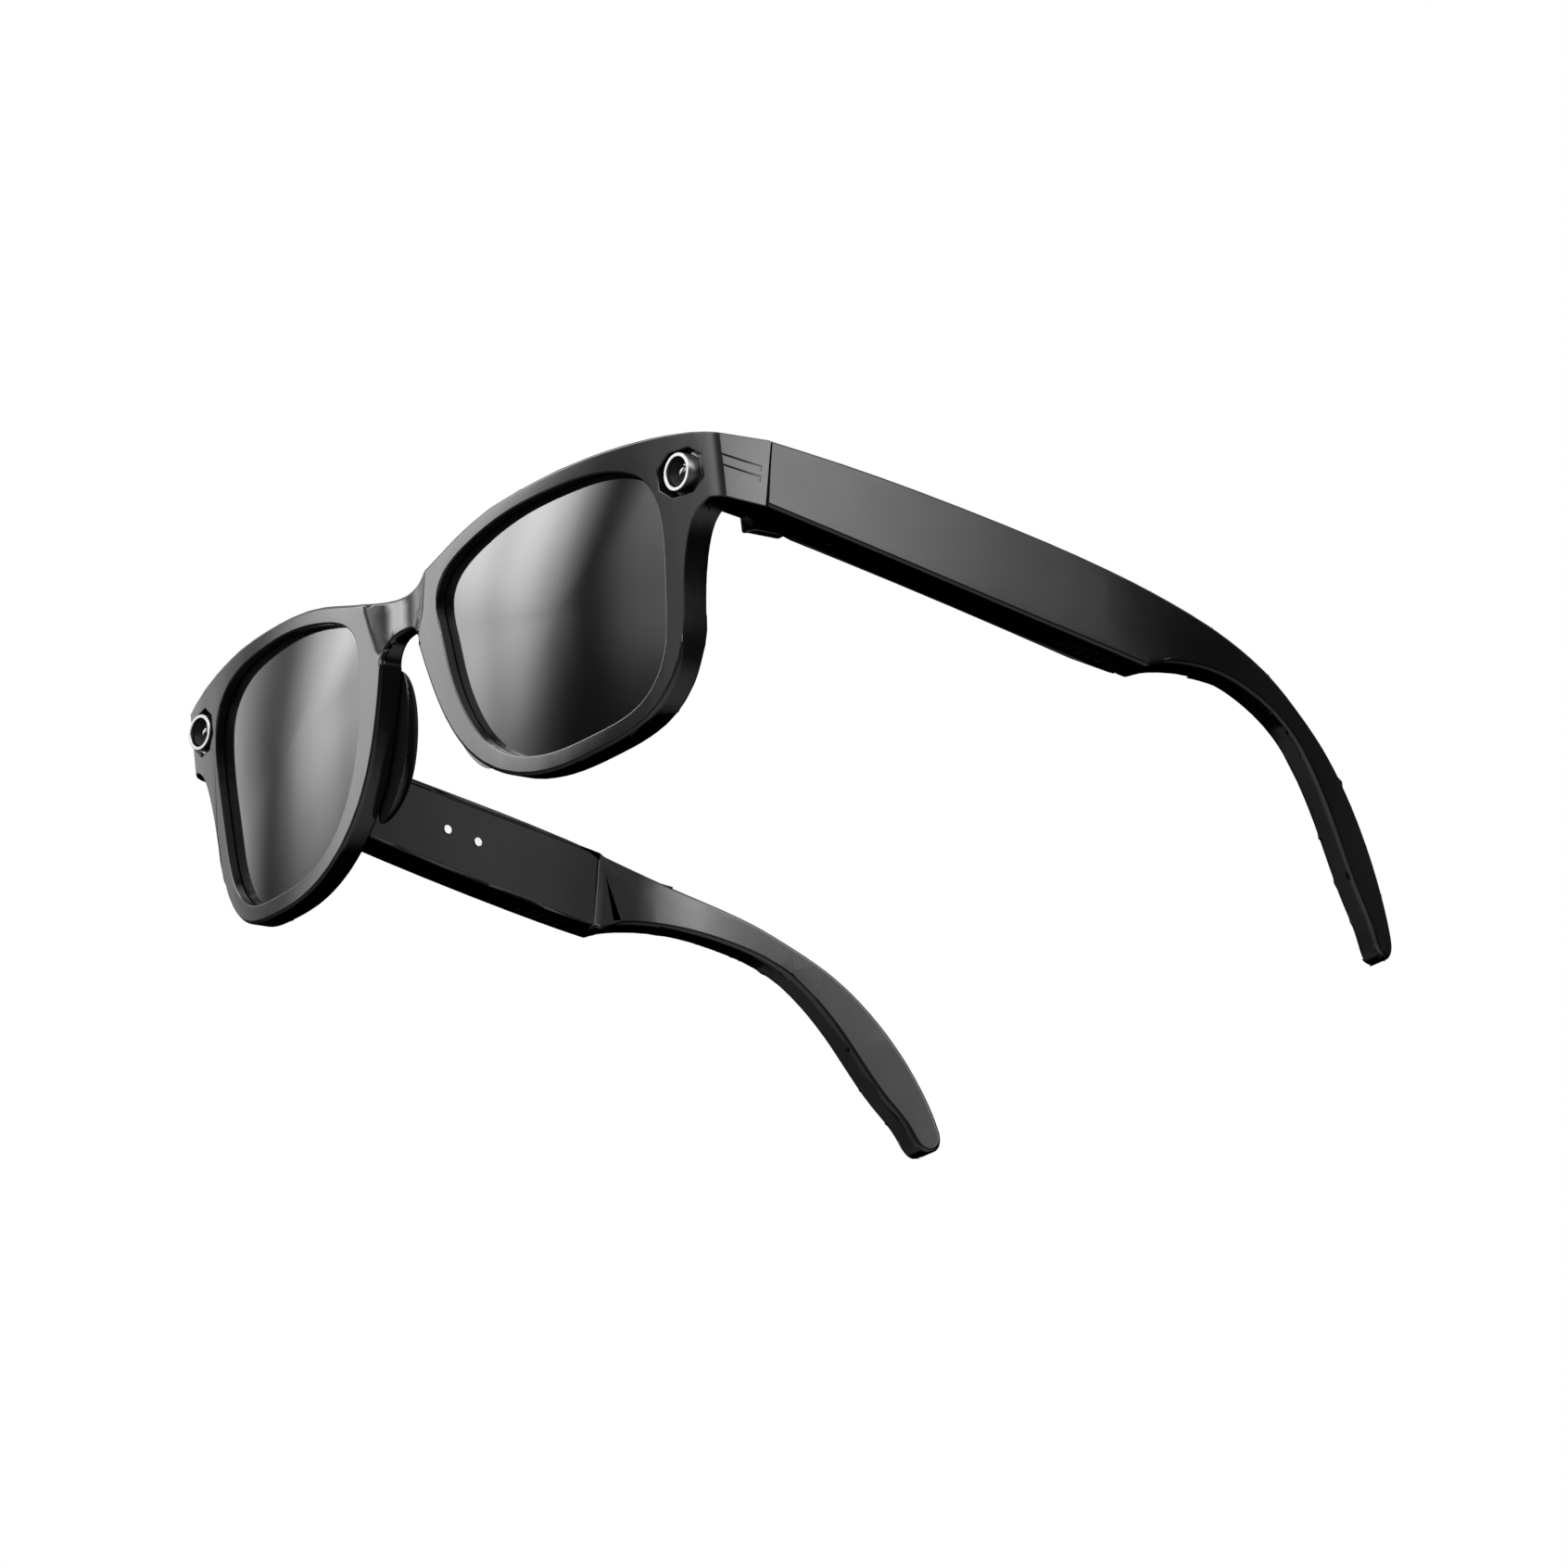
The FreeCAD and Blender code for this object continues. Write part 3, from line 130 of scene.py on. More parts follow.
WELD = 0.01             # corners closer than this are one
SLIVER = 0.02           # and an edge shorter than this is closed up
STRAY = 0.33            # a corner of a rounded edge that lands further than this off the piece comes back
FACE_WEIGHT = 80        # large faces keep their own shading, and the radii take up the turn
CREASE = 50.0           # degrees between faces that stay a crisp edge


def softened(node, name, material, body, slot, radius, sharp=25.0, segments=4, flat=0.6):
    """A copy of a made piece with its moulded radii: radius(middle, normals) gives each edge's size in mm."""
    mesh = nodes[node].data.copy()
    bm = bmesh.new()
    bm.from_mesh(mesh)
    bmesh.ops.remove_doubles(bm, verts=bm.verts, dist=WELD * MM)
    bmesh.ops.dissolve_degenerate(bm, dist=SLIVER * MM, edges=bm.edges)
    bmesh.ops.dissolve_limit(bm, angle_limit=math.radians(flat), verts=bm.verts, edges=bm.edges)
    layers = bm.edges.layers.float
    weight = layers.get("bevel_weight_edge") or layers.new("bevel_weight_edge")
    for e in bm.edges:
        if len(e.link_faces) == 2 and e.calc_face_angle(0) > math.radians(sharp):
            middle = (e.verts[0].co + e.verts[1].co) / 2 / MM
            e[weight] = radius(middle, [f.normal for f in e.link_faces])
    for f in bm.faces:
        f.smooth = True
    bm.to_mesh(mesh)
    bm.free()
    piece = place_piece(name, mesh, material, body, slot, node)
    bevel = piece.modifiers.new("moulded radius", "BEVEL")
    bevel.limit_method = "WEIGHT"
    bevel.width = 1.0 * MM
    bevel.segments = segments
    bevel.use_clamp_overlap = False
    bevel.harden_normals = False
    bpy.context.view_layer.update()
    graph = bpy.context.evaluated_depsgraph_get()
    rounded = bpy.data.meshes.new_from_object(piece.evaluated_get(graph))
    piece.modifiers.remove(bevel)
    source = nodes[node].data
    skin = BVHTree.FromPolygons([v.co for v in source.vertices], [p.vertices[:] for p in source.polygons])
    for v in rounded.vertices:
        near, _, _, gap = skin.find_nearest(v.co)
        if gap > STRAY * MM:
            v.co = near
    piece.data = rounded
    shade = piece.modifiers.new("even shading", "WEIGHTED_NORMAL")
    shade.keep_sharp = True
    shade.weight = FACE_WEIGHT
    rounded.set_sharp_from_angle(angle=math.radians(CREASE))
    return piece


def nearby(objects, flatten=False):
    """Finds how far a point in mm lies from the corners of some pieces, or from them seen from the front."""
    places = [v.co / MM for o in objects for v in o.data.vertices]
    tree = KDTree(len(places))
    for k, place in enumerate(places):
        tree.insert((place.x, 0, place.z) if flatten else place, k)
    tree.balance()
    return lambda p: tree.find((p.x, 0, p.z) if flatten else p)[2]


RIM_RADIUS = 0.7
OPENING_RADIUS = 0.28
ARM_RADIUS = 0.2
FINE_RADIUS = 0.12
ENGRAVED_RADIUS = 0.05
OPENING_REACH = 1.5     # an edge this near the lens outline belongs to the eye opening
POCKET_REACH = 0.5      # this near a camera insert, to its pocket
SEAT_REACH = 1.2        # and this near a leaf or the brow cover, to its seat
ARM_START = 61.0        # the end pieces begin this far out
ARM_FACE = 68.5         # and the arms' outer faces lie beyond this
ARM_CORNER = -74.0      # the engraved lines lie behind this
LEAF_MARGIN = 1.0       # and level with the leaves, this far inside their ends
from_lens = nearby([nodes["lens_left"], nodes["lens_right"]], flatten=True)
from_camera = nearby([nodes["camera_bezel_left"], nodes["camera_bezel_right"]])
from_hinge = nearby([nodes["front_hinge_leaf_left"], nodes["front_hinge_leaf_right"], nodes["brow_cover"]])
leaf_low, leaf_high = (corner[2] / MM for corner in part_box("front_hinge_leaf_left"))


def front_radius(middle, normals):
    """The moulded radius of an edge of the front, in mm."""
    level = leaf_low + LEAF_MARGIN < middle.z < leaf_high - LEAF_MARGIN
    if abs(middle.x) > ARM_FACE and level and middle.y > ARM_CORNER:
        return ENGRAVED_RADIUS
    if from_camera(middle) < POCKET_REACH or from_hinge(middle) < SEAT_REACH:
        return FINE_RADIUS
    if from_lens(middle) < OPENING_REACH:
        return OPENING_RADIUS
    if abs(middle.x) > ARM_START:
        return ARM_RADIUS
    return RIM_RADIUS


front_gloss = finish("polished black plastic", (0.004, 0.004, 0.0045), (0.007, 0.007, 0.0075), (0.11, 0.17),
                     relief=0.12, worn=0.5)
softened("front_frame", "front", front_gloss, "front", "frame_black", front_radius)

# ---------- Lenses ----------
# Each lens is injection-moulded from smoke-black plastic and hard coated. It is a shallow cap that bulges
# forwards, thickest seen from its polished front, and its edge sits in a groove round the eye opening.

SIDES = ("left", "right")
LENS_BULGE = 2.0        # crown in front of the middle plane of the edge
LENS_THICKNESS = 1.8
LENS_RINGS = 28
EDGE_STEPS = 120
LENS_CORNER = 50.0      # degrees at the corner line of a lens
LENS_CREASE = 40.0      # and at the edge of the finished one
FINE_WELD = 0.004
hinge = next(j for j in frame["joints"] if j["name"] == "temple_left_fold")
tilt = math.atan2(-hinge["axis"][1], hinge["axis"][2])
upright = Matrix.Rotation(-tilt, 3, "X")     # turns a resting point into the front's own upright frame


def front_edge(node):
    """The front corner line of a lens, as evenly spaced points in its own order."""
    bm = bmesh.new()
    bm.from_mesh(nodes[node].data)
    bmesh.ops.remove_doubles(bm, verts=bm.verts, dist=FINE_WELD * MM)
    bent = math.radians(LENS_CORNER)
    corner = [e for e in bm.edges if len(e.link_faces) == 2 and e.calc_face_angle(0) > bent]
    following = {}
    for e in corner:
        a, b = e.verts
        following.setdefault(a, []).append(b)
        following.setdefault(b, []).append(a)
    loops = []
    left = set(following)
    while left:
        loop = [left.pop()]
        while True:
            onward = [v for v in following[loop[-1]] if v in left]
            if not onward:
                break
            left.discard(onward[0])
            loop.append(onward[0])
        loops.append([v.co.copy() for v in loop])
    bm.free()
    loops = sorted(loops, key=len)[-2:]
    line = min(loops, key=lambda pts: sum((upright @ p).y for p in pts) / len(pts))
    lengths = [0.0]
    for a, b in zip(line, line[1:] + line[:1]):
        lengths.append(lengths[-1] + (b - a).length)
    spaced = []
    for k in range(EDGE_STEPS):
        target = lengths[-1] * k / EDGE_STEPS
        i = max(j for j in range(len(line)) if lengths[j] <= target)
        share = (target - lengths[i]) / max(lengths[i + 1] - lengths[i], 1e-9)
        spaced.append(line[i].lerp(line[(i + 1) % len(line)], share))
    return spaced


def bulged_lens(line, name):
    """A cap over an edge line: rings of quads that rise as the square of the distance from the middle."""
    middle = sum(line, Vector()) / len(line)
    out = Vector()
    for a, b in zip(line, line[1:] + line[:1]):
        out += (a - middle).cross(b - middle)
    out.normalize()
    if (upright @ out).y > 0:
        out = -out
    bm = bmesh.new()
    caps = []
    for back in (0.0, LENS_THICKNESS * MM):
        pole = bm.verts.new(middle + out * (LENS_BULGE * MM - back))
        rings = []
        for r in range(1, LENS_RINGS + 1):
            share = r / LENS_RINGS
            ring = []
            for p in line:
                rise = (p - middle).dot(out)
                flat = p - middle - out * rise
                height = rise * share ** 2 + LENS_BULGE * MM * (1 - share ** 2) - back
                ring.append(bm.verts.new(middle + flat * share + out * height))
            rings.append(ring)
        count = len(line)
        for i in range(count):
            bm.faces.new((pole, rings[0][i], rings[0][(i + 1) % count]))
            for inner, outer in zip(rings, rings[1:]):
                bm.faces.new((inner[i], outer[i], outer[(i + 1) % count], inner[(i + 1) % count]))
        caps.append(rings[-1])
    for i in range(len(line)):
        j = (i + 1) % len(line)
        bm.faces.new((caps[0][i], caps[1][i], caps[1][j], caps[0][j]))
    bmesh.ops.recalc_face_normals(bm, faces=bm.faces)
    for f in bm.faces:
        f.smooth = True
    mesh = bpy.data.meshes.new(name)
    bm.to_mesh(mesh)
    bm.free()
    mesh.set_sharp_from_angle(angle=math.radians(LENS_CREASE))
    return mesh


def coated(material, weight, rough=0.03):
    """Adds a thin hard coat to a finish."""
    shader = material.node_tree.nodes["Principled BSDF"]
    shader.inputs["Coat Weight"].default_value = weight
    shader.inputs["Coat Roughness"].default_value = rough


smoke_lens = finish("smoke black lens", (0.003, 0.003, 0.0035), (0.0045, 0.0045, 0.005), (0.05, 0.085),
                    flow=30.0, grain=250.0, relief=0.02, ior=1.56, worn=0.0)
coated(smoke_lens, 0.1)
for side in SIDES:
    cap = bulged_lens(front_edge("lens_" + side), "bulged_lens_" + side)
    place_piece("bulged_lens_" + side, cap, smoke_lens, "front", "lens_smoke", "lens_" + side)

# ---------- Nose pads ----------
# The nose pads are moulded on the inner rims in the same black plastic and polished with them. Each is a
# smooth swelling with no edge where it leaves the rim.

PAD_TUCK = 1.7          # the lower end is drawn this far back under the rim
PAD_TUCK_HEIGHT = 9.0   # over this much of its height
pad_gloss = finish("polished black pad", (0.005, 0.005, 0.005), (0.008, 0.008, 0.008), (0.12, 0.2),
                   relief=0.1)
for side in SIDES:
    pad = softened("nose_pad_" + side, "nose_swelling_" + side, pad_gloss, "front", "pad_black",
                   lambda middle, normals: 0.0, sharp=40.0)
    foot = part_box("nose_pad_" + side)[0][2]
    outward = 1.0 if side == "left" else -1.0
    for v in pad.data.vertices:
        share = min(max(1.0 - (v.co.z - foot) / (PAD_TUCK_HEIGHT * MM), 0.0), 1.0)
        v.co.x += outward * PAD_TUCK * MM * share * share

# ---------- Camera modules ----------
# A camera sits in each upper corner. A glossy octagonal insert falls in facets to a silver ring of turned and
# anodised aluminium, and a black barrel with light baffles holds a small coated glass lens.

TURNED_WELD = 0.001
TURNED_CREASE = 28.0    # degrees between turned faces that stay a crisp edge


def lathe(profile, centre, axis, steps, name):
    """A turned piece: a closed profile of (radius, distance along the axis) in mm."""
    along = axis.normalized()
    side = along.orthogonal().normalized()
    other = along.cross(side)
    bm = bmesh.new()
    rows = []
    for k in range(steps):
        turn = 2 * math.pi * k / steps
        spoke = side * math.cos(turn) + other * math.sin(turn)
        rows.append([bm.verts.new(centre + spoke * r * MM + along * d * MM) for r, d in profile])
    count = len(profile)
    for k in range(steps):
        here, following = rows[k], rows[(k + 1) % steps]
        for i in range(count):
            j = (i + 1) % count
            bm.faces.new((here[i], here[j], following[j], following[i]))
    bmesh.ops.remove_doubles(bm, verts=bm.verts, dist=TURNED_WELD * MM)
    bmesh.ops.recalc_face_normals(bm, faces=bm.faces)
    for f in bm.faces:
        f.smooth = True
    mesh = bpy.data.meshes.new(name)
    bm.to_mesh(mesh)
    bm.free()
    mesh.set_sharp_from_angle(angle=math.radians(TURNED_CREASE))
    return mesh


def middle_of(node):
    """The middle of a piece's box."""
    low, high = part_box(node)
    return (Vector(low) + Vector(high)) / 2


BARREL = 5.35           # barrel, front to back
NOSE_LENGTH = 2.65      # narrow front part of the barrel
NOSE_RADIUS = 2.41
BODY_RADIUS = 3.0
MOUTH_RADIUS = 2.2
APERTURE = 1.3
BAFFLES = 4             # turned steps in the mouth
BAFFLE_LIP = 0.1
BAFFLE_LAND = 0.6       # share of each step that is the lip
MOUTH = 0.9
NOSE_CHAMFER = 0.1
BARREL_STEPS = 72
INSERT_RADIUS = 0.07
forward = (upright.transposed() @ Vector((0, -1, 0))).normalized()
facet_gloss = finish("polished camera insert", (0.004, 0.004, 0.0045), (0.006, 0.006, 0.0065), (0.05, 0.09),
                     relief=0.04)
ring_metal = finish("turned silver aluminium", (0.19, 0.19, 0.187), (0.28, 0.28, 0.276), (0.28, 0.4),
                    flow=400.0, grain=3000.0, relief=0.05, metal=1.0, worn=0.3)
barrel_black = finish("matt black barrel", (0.004, 0.004, 0.004), (0.008, 0.008, 0.008), (0.45, 0.6),
                      flow=300.0, grain=2500.0, relief=0.2)
barrel_black.node_tree.nodes["Principled BSDF"].inputs["Specular IOR Level"].default_value = 0.12
coated_glass = finish("coated camera glass", (0.004, 0.005, 0.011), (0.008, 0.007, 0.016), (0.02, 0.05),
                      flow=350.0, relief=0.0, ior=1.7, worn=0.0)
coated(coated_glass, 0.2)


def give(material, *names):
    """Gives a made piece its own finish."""
    for name in names:
        nodes[name].data.materials.clear()
        nodes[name].data.materials.append(material)


for side in SIDES:
    softened("camera_bezel_" + side, "camera_insert_" + side, facet_gloss, "front", "trim_black",
             lambda middle, normals: INSERT_RADIUS, sharp=12.0, segments=2)
    give(ring_metal, "camera_ring_" + side)
    centre = middle_of("camera_barrel_" + side) + forward * (BARREL / 2) * MM
    steps = []
    for k in range(BAFFLES):
        share = k / BAFFLES
        radius = MOUTH_RADIUS + (APERTURE - MOUTH_RADIUS) * share
        steps.append((radius, -MOUTH * share))
        steps.append((radius - BAFFLE_LIP, -MOUTH * (share + BAFFLE_LAND / BAFFLES)))
    profile = steps + [(APERTURE, -MOUTH), (APERTURE, -BARREL), (BODY_RADIUS, -BARREL),
                       (BODY_RADIUS, -NOSE_LENGTH), (NOSE_RADIUS, -NOSE_LENGTH), (NOSE_RADIUS, -NOSE_CHAMFER),
                       (NOSE_RADIUS - NOSE_CHAMFER, 0.0)]
    barrel = lathe(profile, centre, forward, BARREL_STEPS, "baffled_barrel_" + side)
    place_piece("baffled_barrel_" + side, barrel, barrel_black, "front", "barrel_black",
                "camera_barrel_" + side)
    give(coated_glass, "camera_lens_" + side)

# ---------- Boards and flex ----------
# The camera boards and the temple boards are green glass-epoxy with a semi-gloss solder mask over the copper.
# A thin amber polyimide flex joins the two cameras along the brow, under a black cover strip.


def both(name):
    """The left and the right piece of a pair."""
    return [name + "_" + side for side in SIDES]


board_green = finish("green solder mask", (0.006, 0.05, 0.018), (0.012, 0.085, 0.03), (0.25, 0.42),
                     flow=260.0, grain=1800.0, relief=0.6)
flex_amber = finish("amber polyimide film", (0.30, 0.12, 0.015), (0.42, 0.19, 0.03), (0.22, 0.35), flow=150.0,
                    grain=1200.0, relief=0.15)
strip_black = finish("black cover strip", (0.006, 0.006, 0.006), (0.011, 0.011, 0.011), (0.32, 0.45),
                     flow=120.0, grain=1600.0, relief=0.35)
give(board_green, *both("camera_board"), *both("circuit_board"))
give(flex_amber, "front_flex_cable", "touch_sensor")
give(strip_black, "brow_cover")

# ---------- Hinges ----------
# Five-knuckle barrel hinges of brushed stainless steel. The leaves are stamped and tumbled, each fixed with
# two small screws, and a slotted screw is the pin. A moulded black cap covers the knuckles inside the joint.

CAP_RADIUS = 0.35
hinge_steel = finish("brushed stainless steel", (0.42, 0.42, 0.43), (0.58, 0.58, 0.59), (0.22, 0.36),
                     flow=120.0, grain=2200.0, relief=0.35, stretch=(1, 1, 0.08), metal=1.0)
cap_black = finish("moulded hinge cap", (0.005, 0.005, 0.005), (0.01, 0.01, 0.01), (0.18, 0.28), relief=0.2)
give(hinge_steel, *both("front_hinge_leaf"), *both("temple_hinge_leaf"), *both("hinge_screw"))
for side in SIDES:
    softened("hinge_cap_" + side, "moulded_hinge_cap_" + side, cap_black, "temple_" + side, "trim_black",
             lambda middle, normals: CAP_RADIUS)

# ---------- Leaf screws ----------
# The hinge leaves are held by small slotted screws of blackened steel, two in each leaf. They are all the
# same screw, set with their heads towards the middle of the glasses.

SCREW_LENGTH = 2.6
SCREW_SHANK = 0.5
SCREW_HEAD = 1.0
SCREW_HEAD_HEIGHT = 0.5
SCREW_SLOT = 0.28
HEAD_TAPER = 0.82       # top of the head, as a share of its foot
SLOT_REACH = 2.4        # length of the slot cutter, in head radii
SEAT_HALF = 0.1


def node_group(name, inputs):
    """An empty Geometry Nodes tree with a geometry input and named sizes."""
    group = bpy.data.node_groups.new(name, "GeometryNodeTree")
    group.interface.new_socket("Geometry", in_out="INPUT", socket_type="NodeSocketGeometry")
    group.interface.new_socket("Geometry", in_out="OUTPUT", socket_type="NodeSocketGeometry")
    for label, value in inputs.items():
        socket = group.interface.new_socket(label, in_out="INPUT", socket_type="NodeSocketFloat")
        socket.default_value = value
    return group


def worked_mesh(group, base, values, name):
    """Runs a tree on a base mesh with the given sizes and returns the result as a plain mesh."""
    carrier = bpy.data.objects.new(name, base)
    bpy.context.scene.collection.objects.link(carrier)
    modifier = carrier.modifiers.new("build", "NODES")
    modifier.node_group = group
    for item in group.interface.items_tree:
        if item.item_type == "SOCKET" and item.in_out == "INPUT" and item.name in values:
            modifier[item.identifier] = values[item.name]
    bpy.context.view_layer.update()
    graph = bpy.context.evaluated_depsgraph_get()
    made = bpy.data.meshes.new_from_object(carrier.evaluated_get(graph))
    carrier.modifiers.remove(modifier)
    bpy.data.objects.remove(carrier)
    return made


def screw_tree(material):
    """Screws on points: a shank and a domed head, slotted, standing along each point's normal."""
    group = node_group("leaf screws", {"Length": SCREW_LENGTH, "Shank": SCREW_SHANK, "Head": SCREW_HEAD,
                                       "Head height": SCREW_HEAD_HEIGHT, "Slot": SCREW_SLOT})
    new = group.nodes.new
    link = group.links.new
    given = new("NodeGroupInput")
    result = new("NodeGroupOutput")

    def number(operation, a, b):
        sum_node = new("ShaderNodeMath")
        sum_node.operation = operation
        for socket, value in zip(sum_node.inputs, (a, b)):
            if isinstance(value, float):
                socket.default_value = value
            else:
                link(value, socket)
        return sum_node.outputs[0]

    def moved(geometry, height):
        offset = new("ShaderNodeCombineXYZ")
        link(height, offset.inputs["Z"])
        shift = new("GeometryNodeTransform")
        link(geometry, shift.inputs["Geometry"])
        link(offset.outputs[0], shift.inputs["Translation"])
        return shift.outputs[0]

    shank = new("GeometryNodeMeshCylinder")
    shank.inputs["Vertices"].default_value = 20
    link(given.outputs["Shank"], shank.inputs["Radius"])
    link(given.outputs["Length"], shank.inputs["Depth"])
    head = new("GeometryNodeMeshCone")
    head.inputs["Vertices"].default_value = 32
    link(number("MULTIPLY", given.outputs["Head"], HEAD_TAPER), head.inputs["Radius Top"])
    link(given.outputs["Head"], head.inputs["Radius Bottom"])
    link(given.outputs["Head height"], head.inputs["Depth"])
    cutter = new("GeometryNodeMeshCube")
    size = new("ShaderNodeCombineXYZ")
    link(number("MULTIPLY", given.outputs["Head"], SLOT_REACH), size.inputs["X"])
    link(given.outputs["Slot"], size.inputs["Y"])
    link(given.outputs["Head height"], size.inputs["Z"])
    link(size.outputs[0], cutter.inputs["Size"])
    cut = new("GeometryNodeMeshBoolean")
    cut.operation = "DIFFERENCE"
    link(head.outputs["Mesh"], cut.inputs[0])
    link(moved(cutter.outputs["Mesh"], given.outputs["Head height"]), cut.inputs[1])
    join = new("GeometryNodeJoinGeometry")
    link(moved(shank.outputs["Mesh"], number("MULTIPLY", given.outputs["Length"], -0.5)), join.inputs[0])
    link(cut.outputs["Mesh"], join.inputs[0])
    spread = new("GeometryNodeInstanceOnPoints")
    heading = new("FunctionNodeAlignEulerToVector")
    heading.axis = "Z"
    normal = new("GeometryNodeInputNormal")
    points = new("GeometryNodeMeshToPoints")
    points.mode = "FACES"
    turn = new("GeometryNodeStoreNamedAttribute")
    turn.data_type = "FLOAT_VECTOR"
    turn.domain = "FACE"
    turn.inputs["Name"].default_value = "heading"
    link(given.outputs["Geometry"], turn.inputs["Geometry"])
    link(normal.outputs[0], turn.inputs["Value"])
    link(turn.outputs["Geometry"], points.inputs["Mesh"])
    kept = new("GeometryNodeInputNamedAttribute")
    kept.data_type = "FLOAT_VECTOR"
    kept.inputs["Name"].default_value = "heading"
    link(kept.outputs["Attribute"], heading.inputs["Vector"])
    link(points.outputs[0], spread.inputs["Points"])
    link(join.outputs[0], spread.inputs["Instance"])
    link(heading.outputs[0], spread.inputs["Rotation"])
    real = new("GeometryNodeRealizeInstances")
    link(spread.outputs[0], real.inputs[0])
    coat = new("GeometryNodeSetMaterial")
    coat.inputs["Material"].default_value = material
    link(real.outputs[0], coat.inputs["Geometry"])
    link(coat.outputs["Geometry"], result.inputs[0])
    return group


def islands(mesh):
    """Separate solids of a mesh, as lists of points."""
    bm = bmesh.new()
    bm.from_mesh(mesh)
    bmesh.ops.remove_doubles(bm, verts=bm.verts, dist=FINE_WELD * MM)
    left = set(bm.verts)
    found = []
    while left:
        stack = [left.pop()]
        island = []
        while stack:
            v = stack.pop()
            island.append(v.co.copy())
            for e in v.link_edges:
                w = e.other_vert(v)
                if w in left:
                    left.discard(w)
                    stack.append(w)
        found.append(island)
    bm.free()
    return found


def screw_seats(node):
    """One small face under each screw head, facing the way the head faces."""
    corners = []
    faces = []
    for island in islands(nodes[node].data):
        low = min(p.x for p in island)
        high = max(p.x for p in island)
        sign = -1.0 if (low + high) > 0 else 1.0
        outer = low if sign < 0 else high
        y = (min(p.y for p in island) + max(p.y for p in island)) / 2
        z = (min(p.z for p in island) + max(p.z for p in island)) / 2
        x = outer - sign * SCREW_HEAD_HEIGHT * MM
        first = len(corners)
        ring = [(-1, -1), (1, -1), (1, 1), (-1, 1)]
        if sign < 0:
            ring.reverse()
        corners += [(x, y + a * SEAT_HALF * MM, z + b * SEAT_HALF * MM) for a, b in ring]
        faces.append(tuple(range(first, first + 4)))
    mesh = bpy.data.meshes.new("seats")
    mesh.from_pydata(corners, [], faces)
    return mesh


screw_steel = finish("blackened screw steel", (0.10, 0.10, 0.105), (0.2, 0.2, 0.205), (0.25, 0.4), flow=500.0,
                     grain=3000.0, relief=0.2, metal=1.0)
screws = screw_tree(screw_steel)
screw_sizes = {"Length": (SCREW_LENGTH - SCREW_HEAD_HEIGHT) * MM, "Shank": SCREW_SHANK * MM,
               "Head": SCREW_HEAD * MM, "Head height": SCREW_HEAD_HEIGHT * MM, "Slot": SCREW_SLOT * MM}
for node, body in (("front_leaf_screws", "front"), ("temple_leaf_screws_left", "temple_left"),
                   ("temple_leaf_screws_right", "temple_right")):
    made = worked_mesh(screws, screw_seats(node), screw_sizes, node + "_seats")
    place_piece("slotted_" + node, made, screw_steel, body, "screw_steel", node)

# ---------- Temples ----------
# Each temple is a moulded black shell with a thick front part for the electronics and a thinner curved hook
# behind the ear, on a steel core. It is polished, a little softer than the front, and its long edges have a
# generous radius.

LONG_EDGE = 0.75
INNER_EDGE = 0.5
HOOK_EDGE = 0.95
PORT_EDGE = 0.06
FACE_REACH = 0.45       # a long edge lies this near the outer or the inner face
FACE_STEP = 2.0         # the faces are found again this often along the temple
FACING = 0.75           # a face that turns sideways by this share is an outer or an inner one
SEATED_REACH = 0.6      # an edge this near the cover or the core belongs to its seat, and stays sharp
JOINT_REACH = 1.5       # the front end, this near the parting plane, stays crisp
STRAIGHT_END = 16.0     # the hook begins behind this, in mm along the resting frame

temple_gloss = finish("polished black temple", (0.0045, 0.0042, 0.004), (0.0075, 0.007, 0.0065), (0.15, 0.22),
                      relief=0.12, worn=0.5)


def face_reach(node):
    """How far out the outer and the inner face of a temple lie, for every step along it."""
    reach = {}
    for v in nodes[node].data.vertices:
        here = round(v.co.y / MM / FACE_STEP)
        for step in (here - 1, here, here + 1):
            low, high = reach.get(step, (1000.0, 0.0))
            reach[step] = (min(low, abs(v.co.x) / MM), max(high, abs(v.co.x) / MM))
    return reach


def temple_radii(side):
    """Gives the moulded radius, in mm, of any edge of a temple shell."""
    reach = face_reach("temple_shell_" + side)
    joint_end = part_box("temple_shell_" + side)[0][1] / MM + JOINT_REACH
    from_cover = nearby([nodes["temple_cover_" + side]])
    from_core = nearby([nodes["hook_core_" + side]])

    def radius(middle, normals):
        sideways = [abs(n.x) > FACING for n in normals]
        low, high = reach.get(round(middle.y / FACE_STEP), (0.0, 1000.0))
        if from_cover(middle) < SEATED_REACH or from_core(middle) < SEATED_REACH:
            return 0.0
        if sideways.count(True) != 1:
            return PORT_EDGE
        if middle.y > STRAIGHT_END:
            return HOOK_EDGE
        if middle.y < joint_end:
            return PORT_EDGE
        if abs(middle.x) > high - FACE_REACH:
            return LONG_EDGE
        if abs(middle.x) < low + FACE_REACH:
            return INNER_EDGE
        return PORT_EDGE
    return radius


for side in SIDES:
    softened("temple_shell_" + side, "temple_" + side, temple_gloss, "temple_" + side, "frame_black",
             temple_radii(side), flat=0.12)
give(hinge_steel, *both("hook_core"))

# ---------- Temple covers ----------
# A thin moulded wall closes the inside of each temple. It is glued into a ledge of the shell, in the same
# black with a slightly softer polish. The right one carries two plated charging contacts.

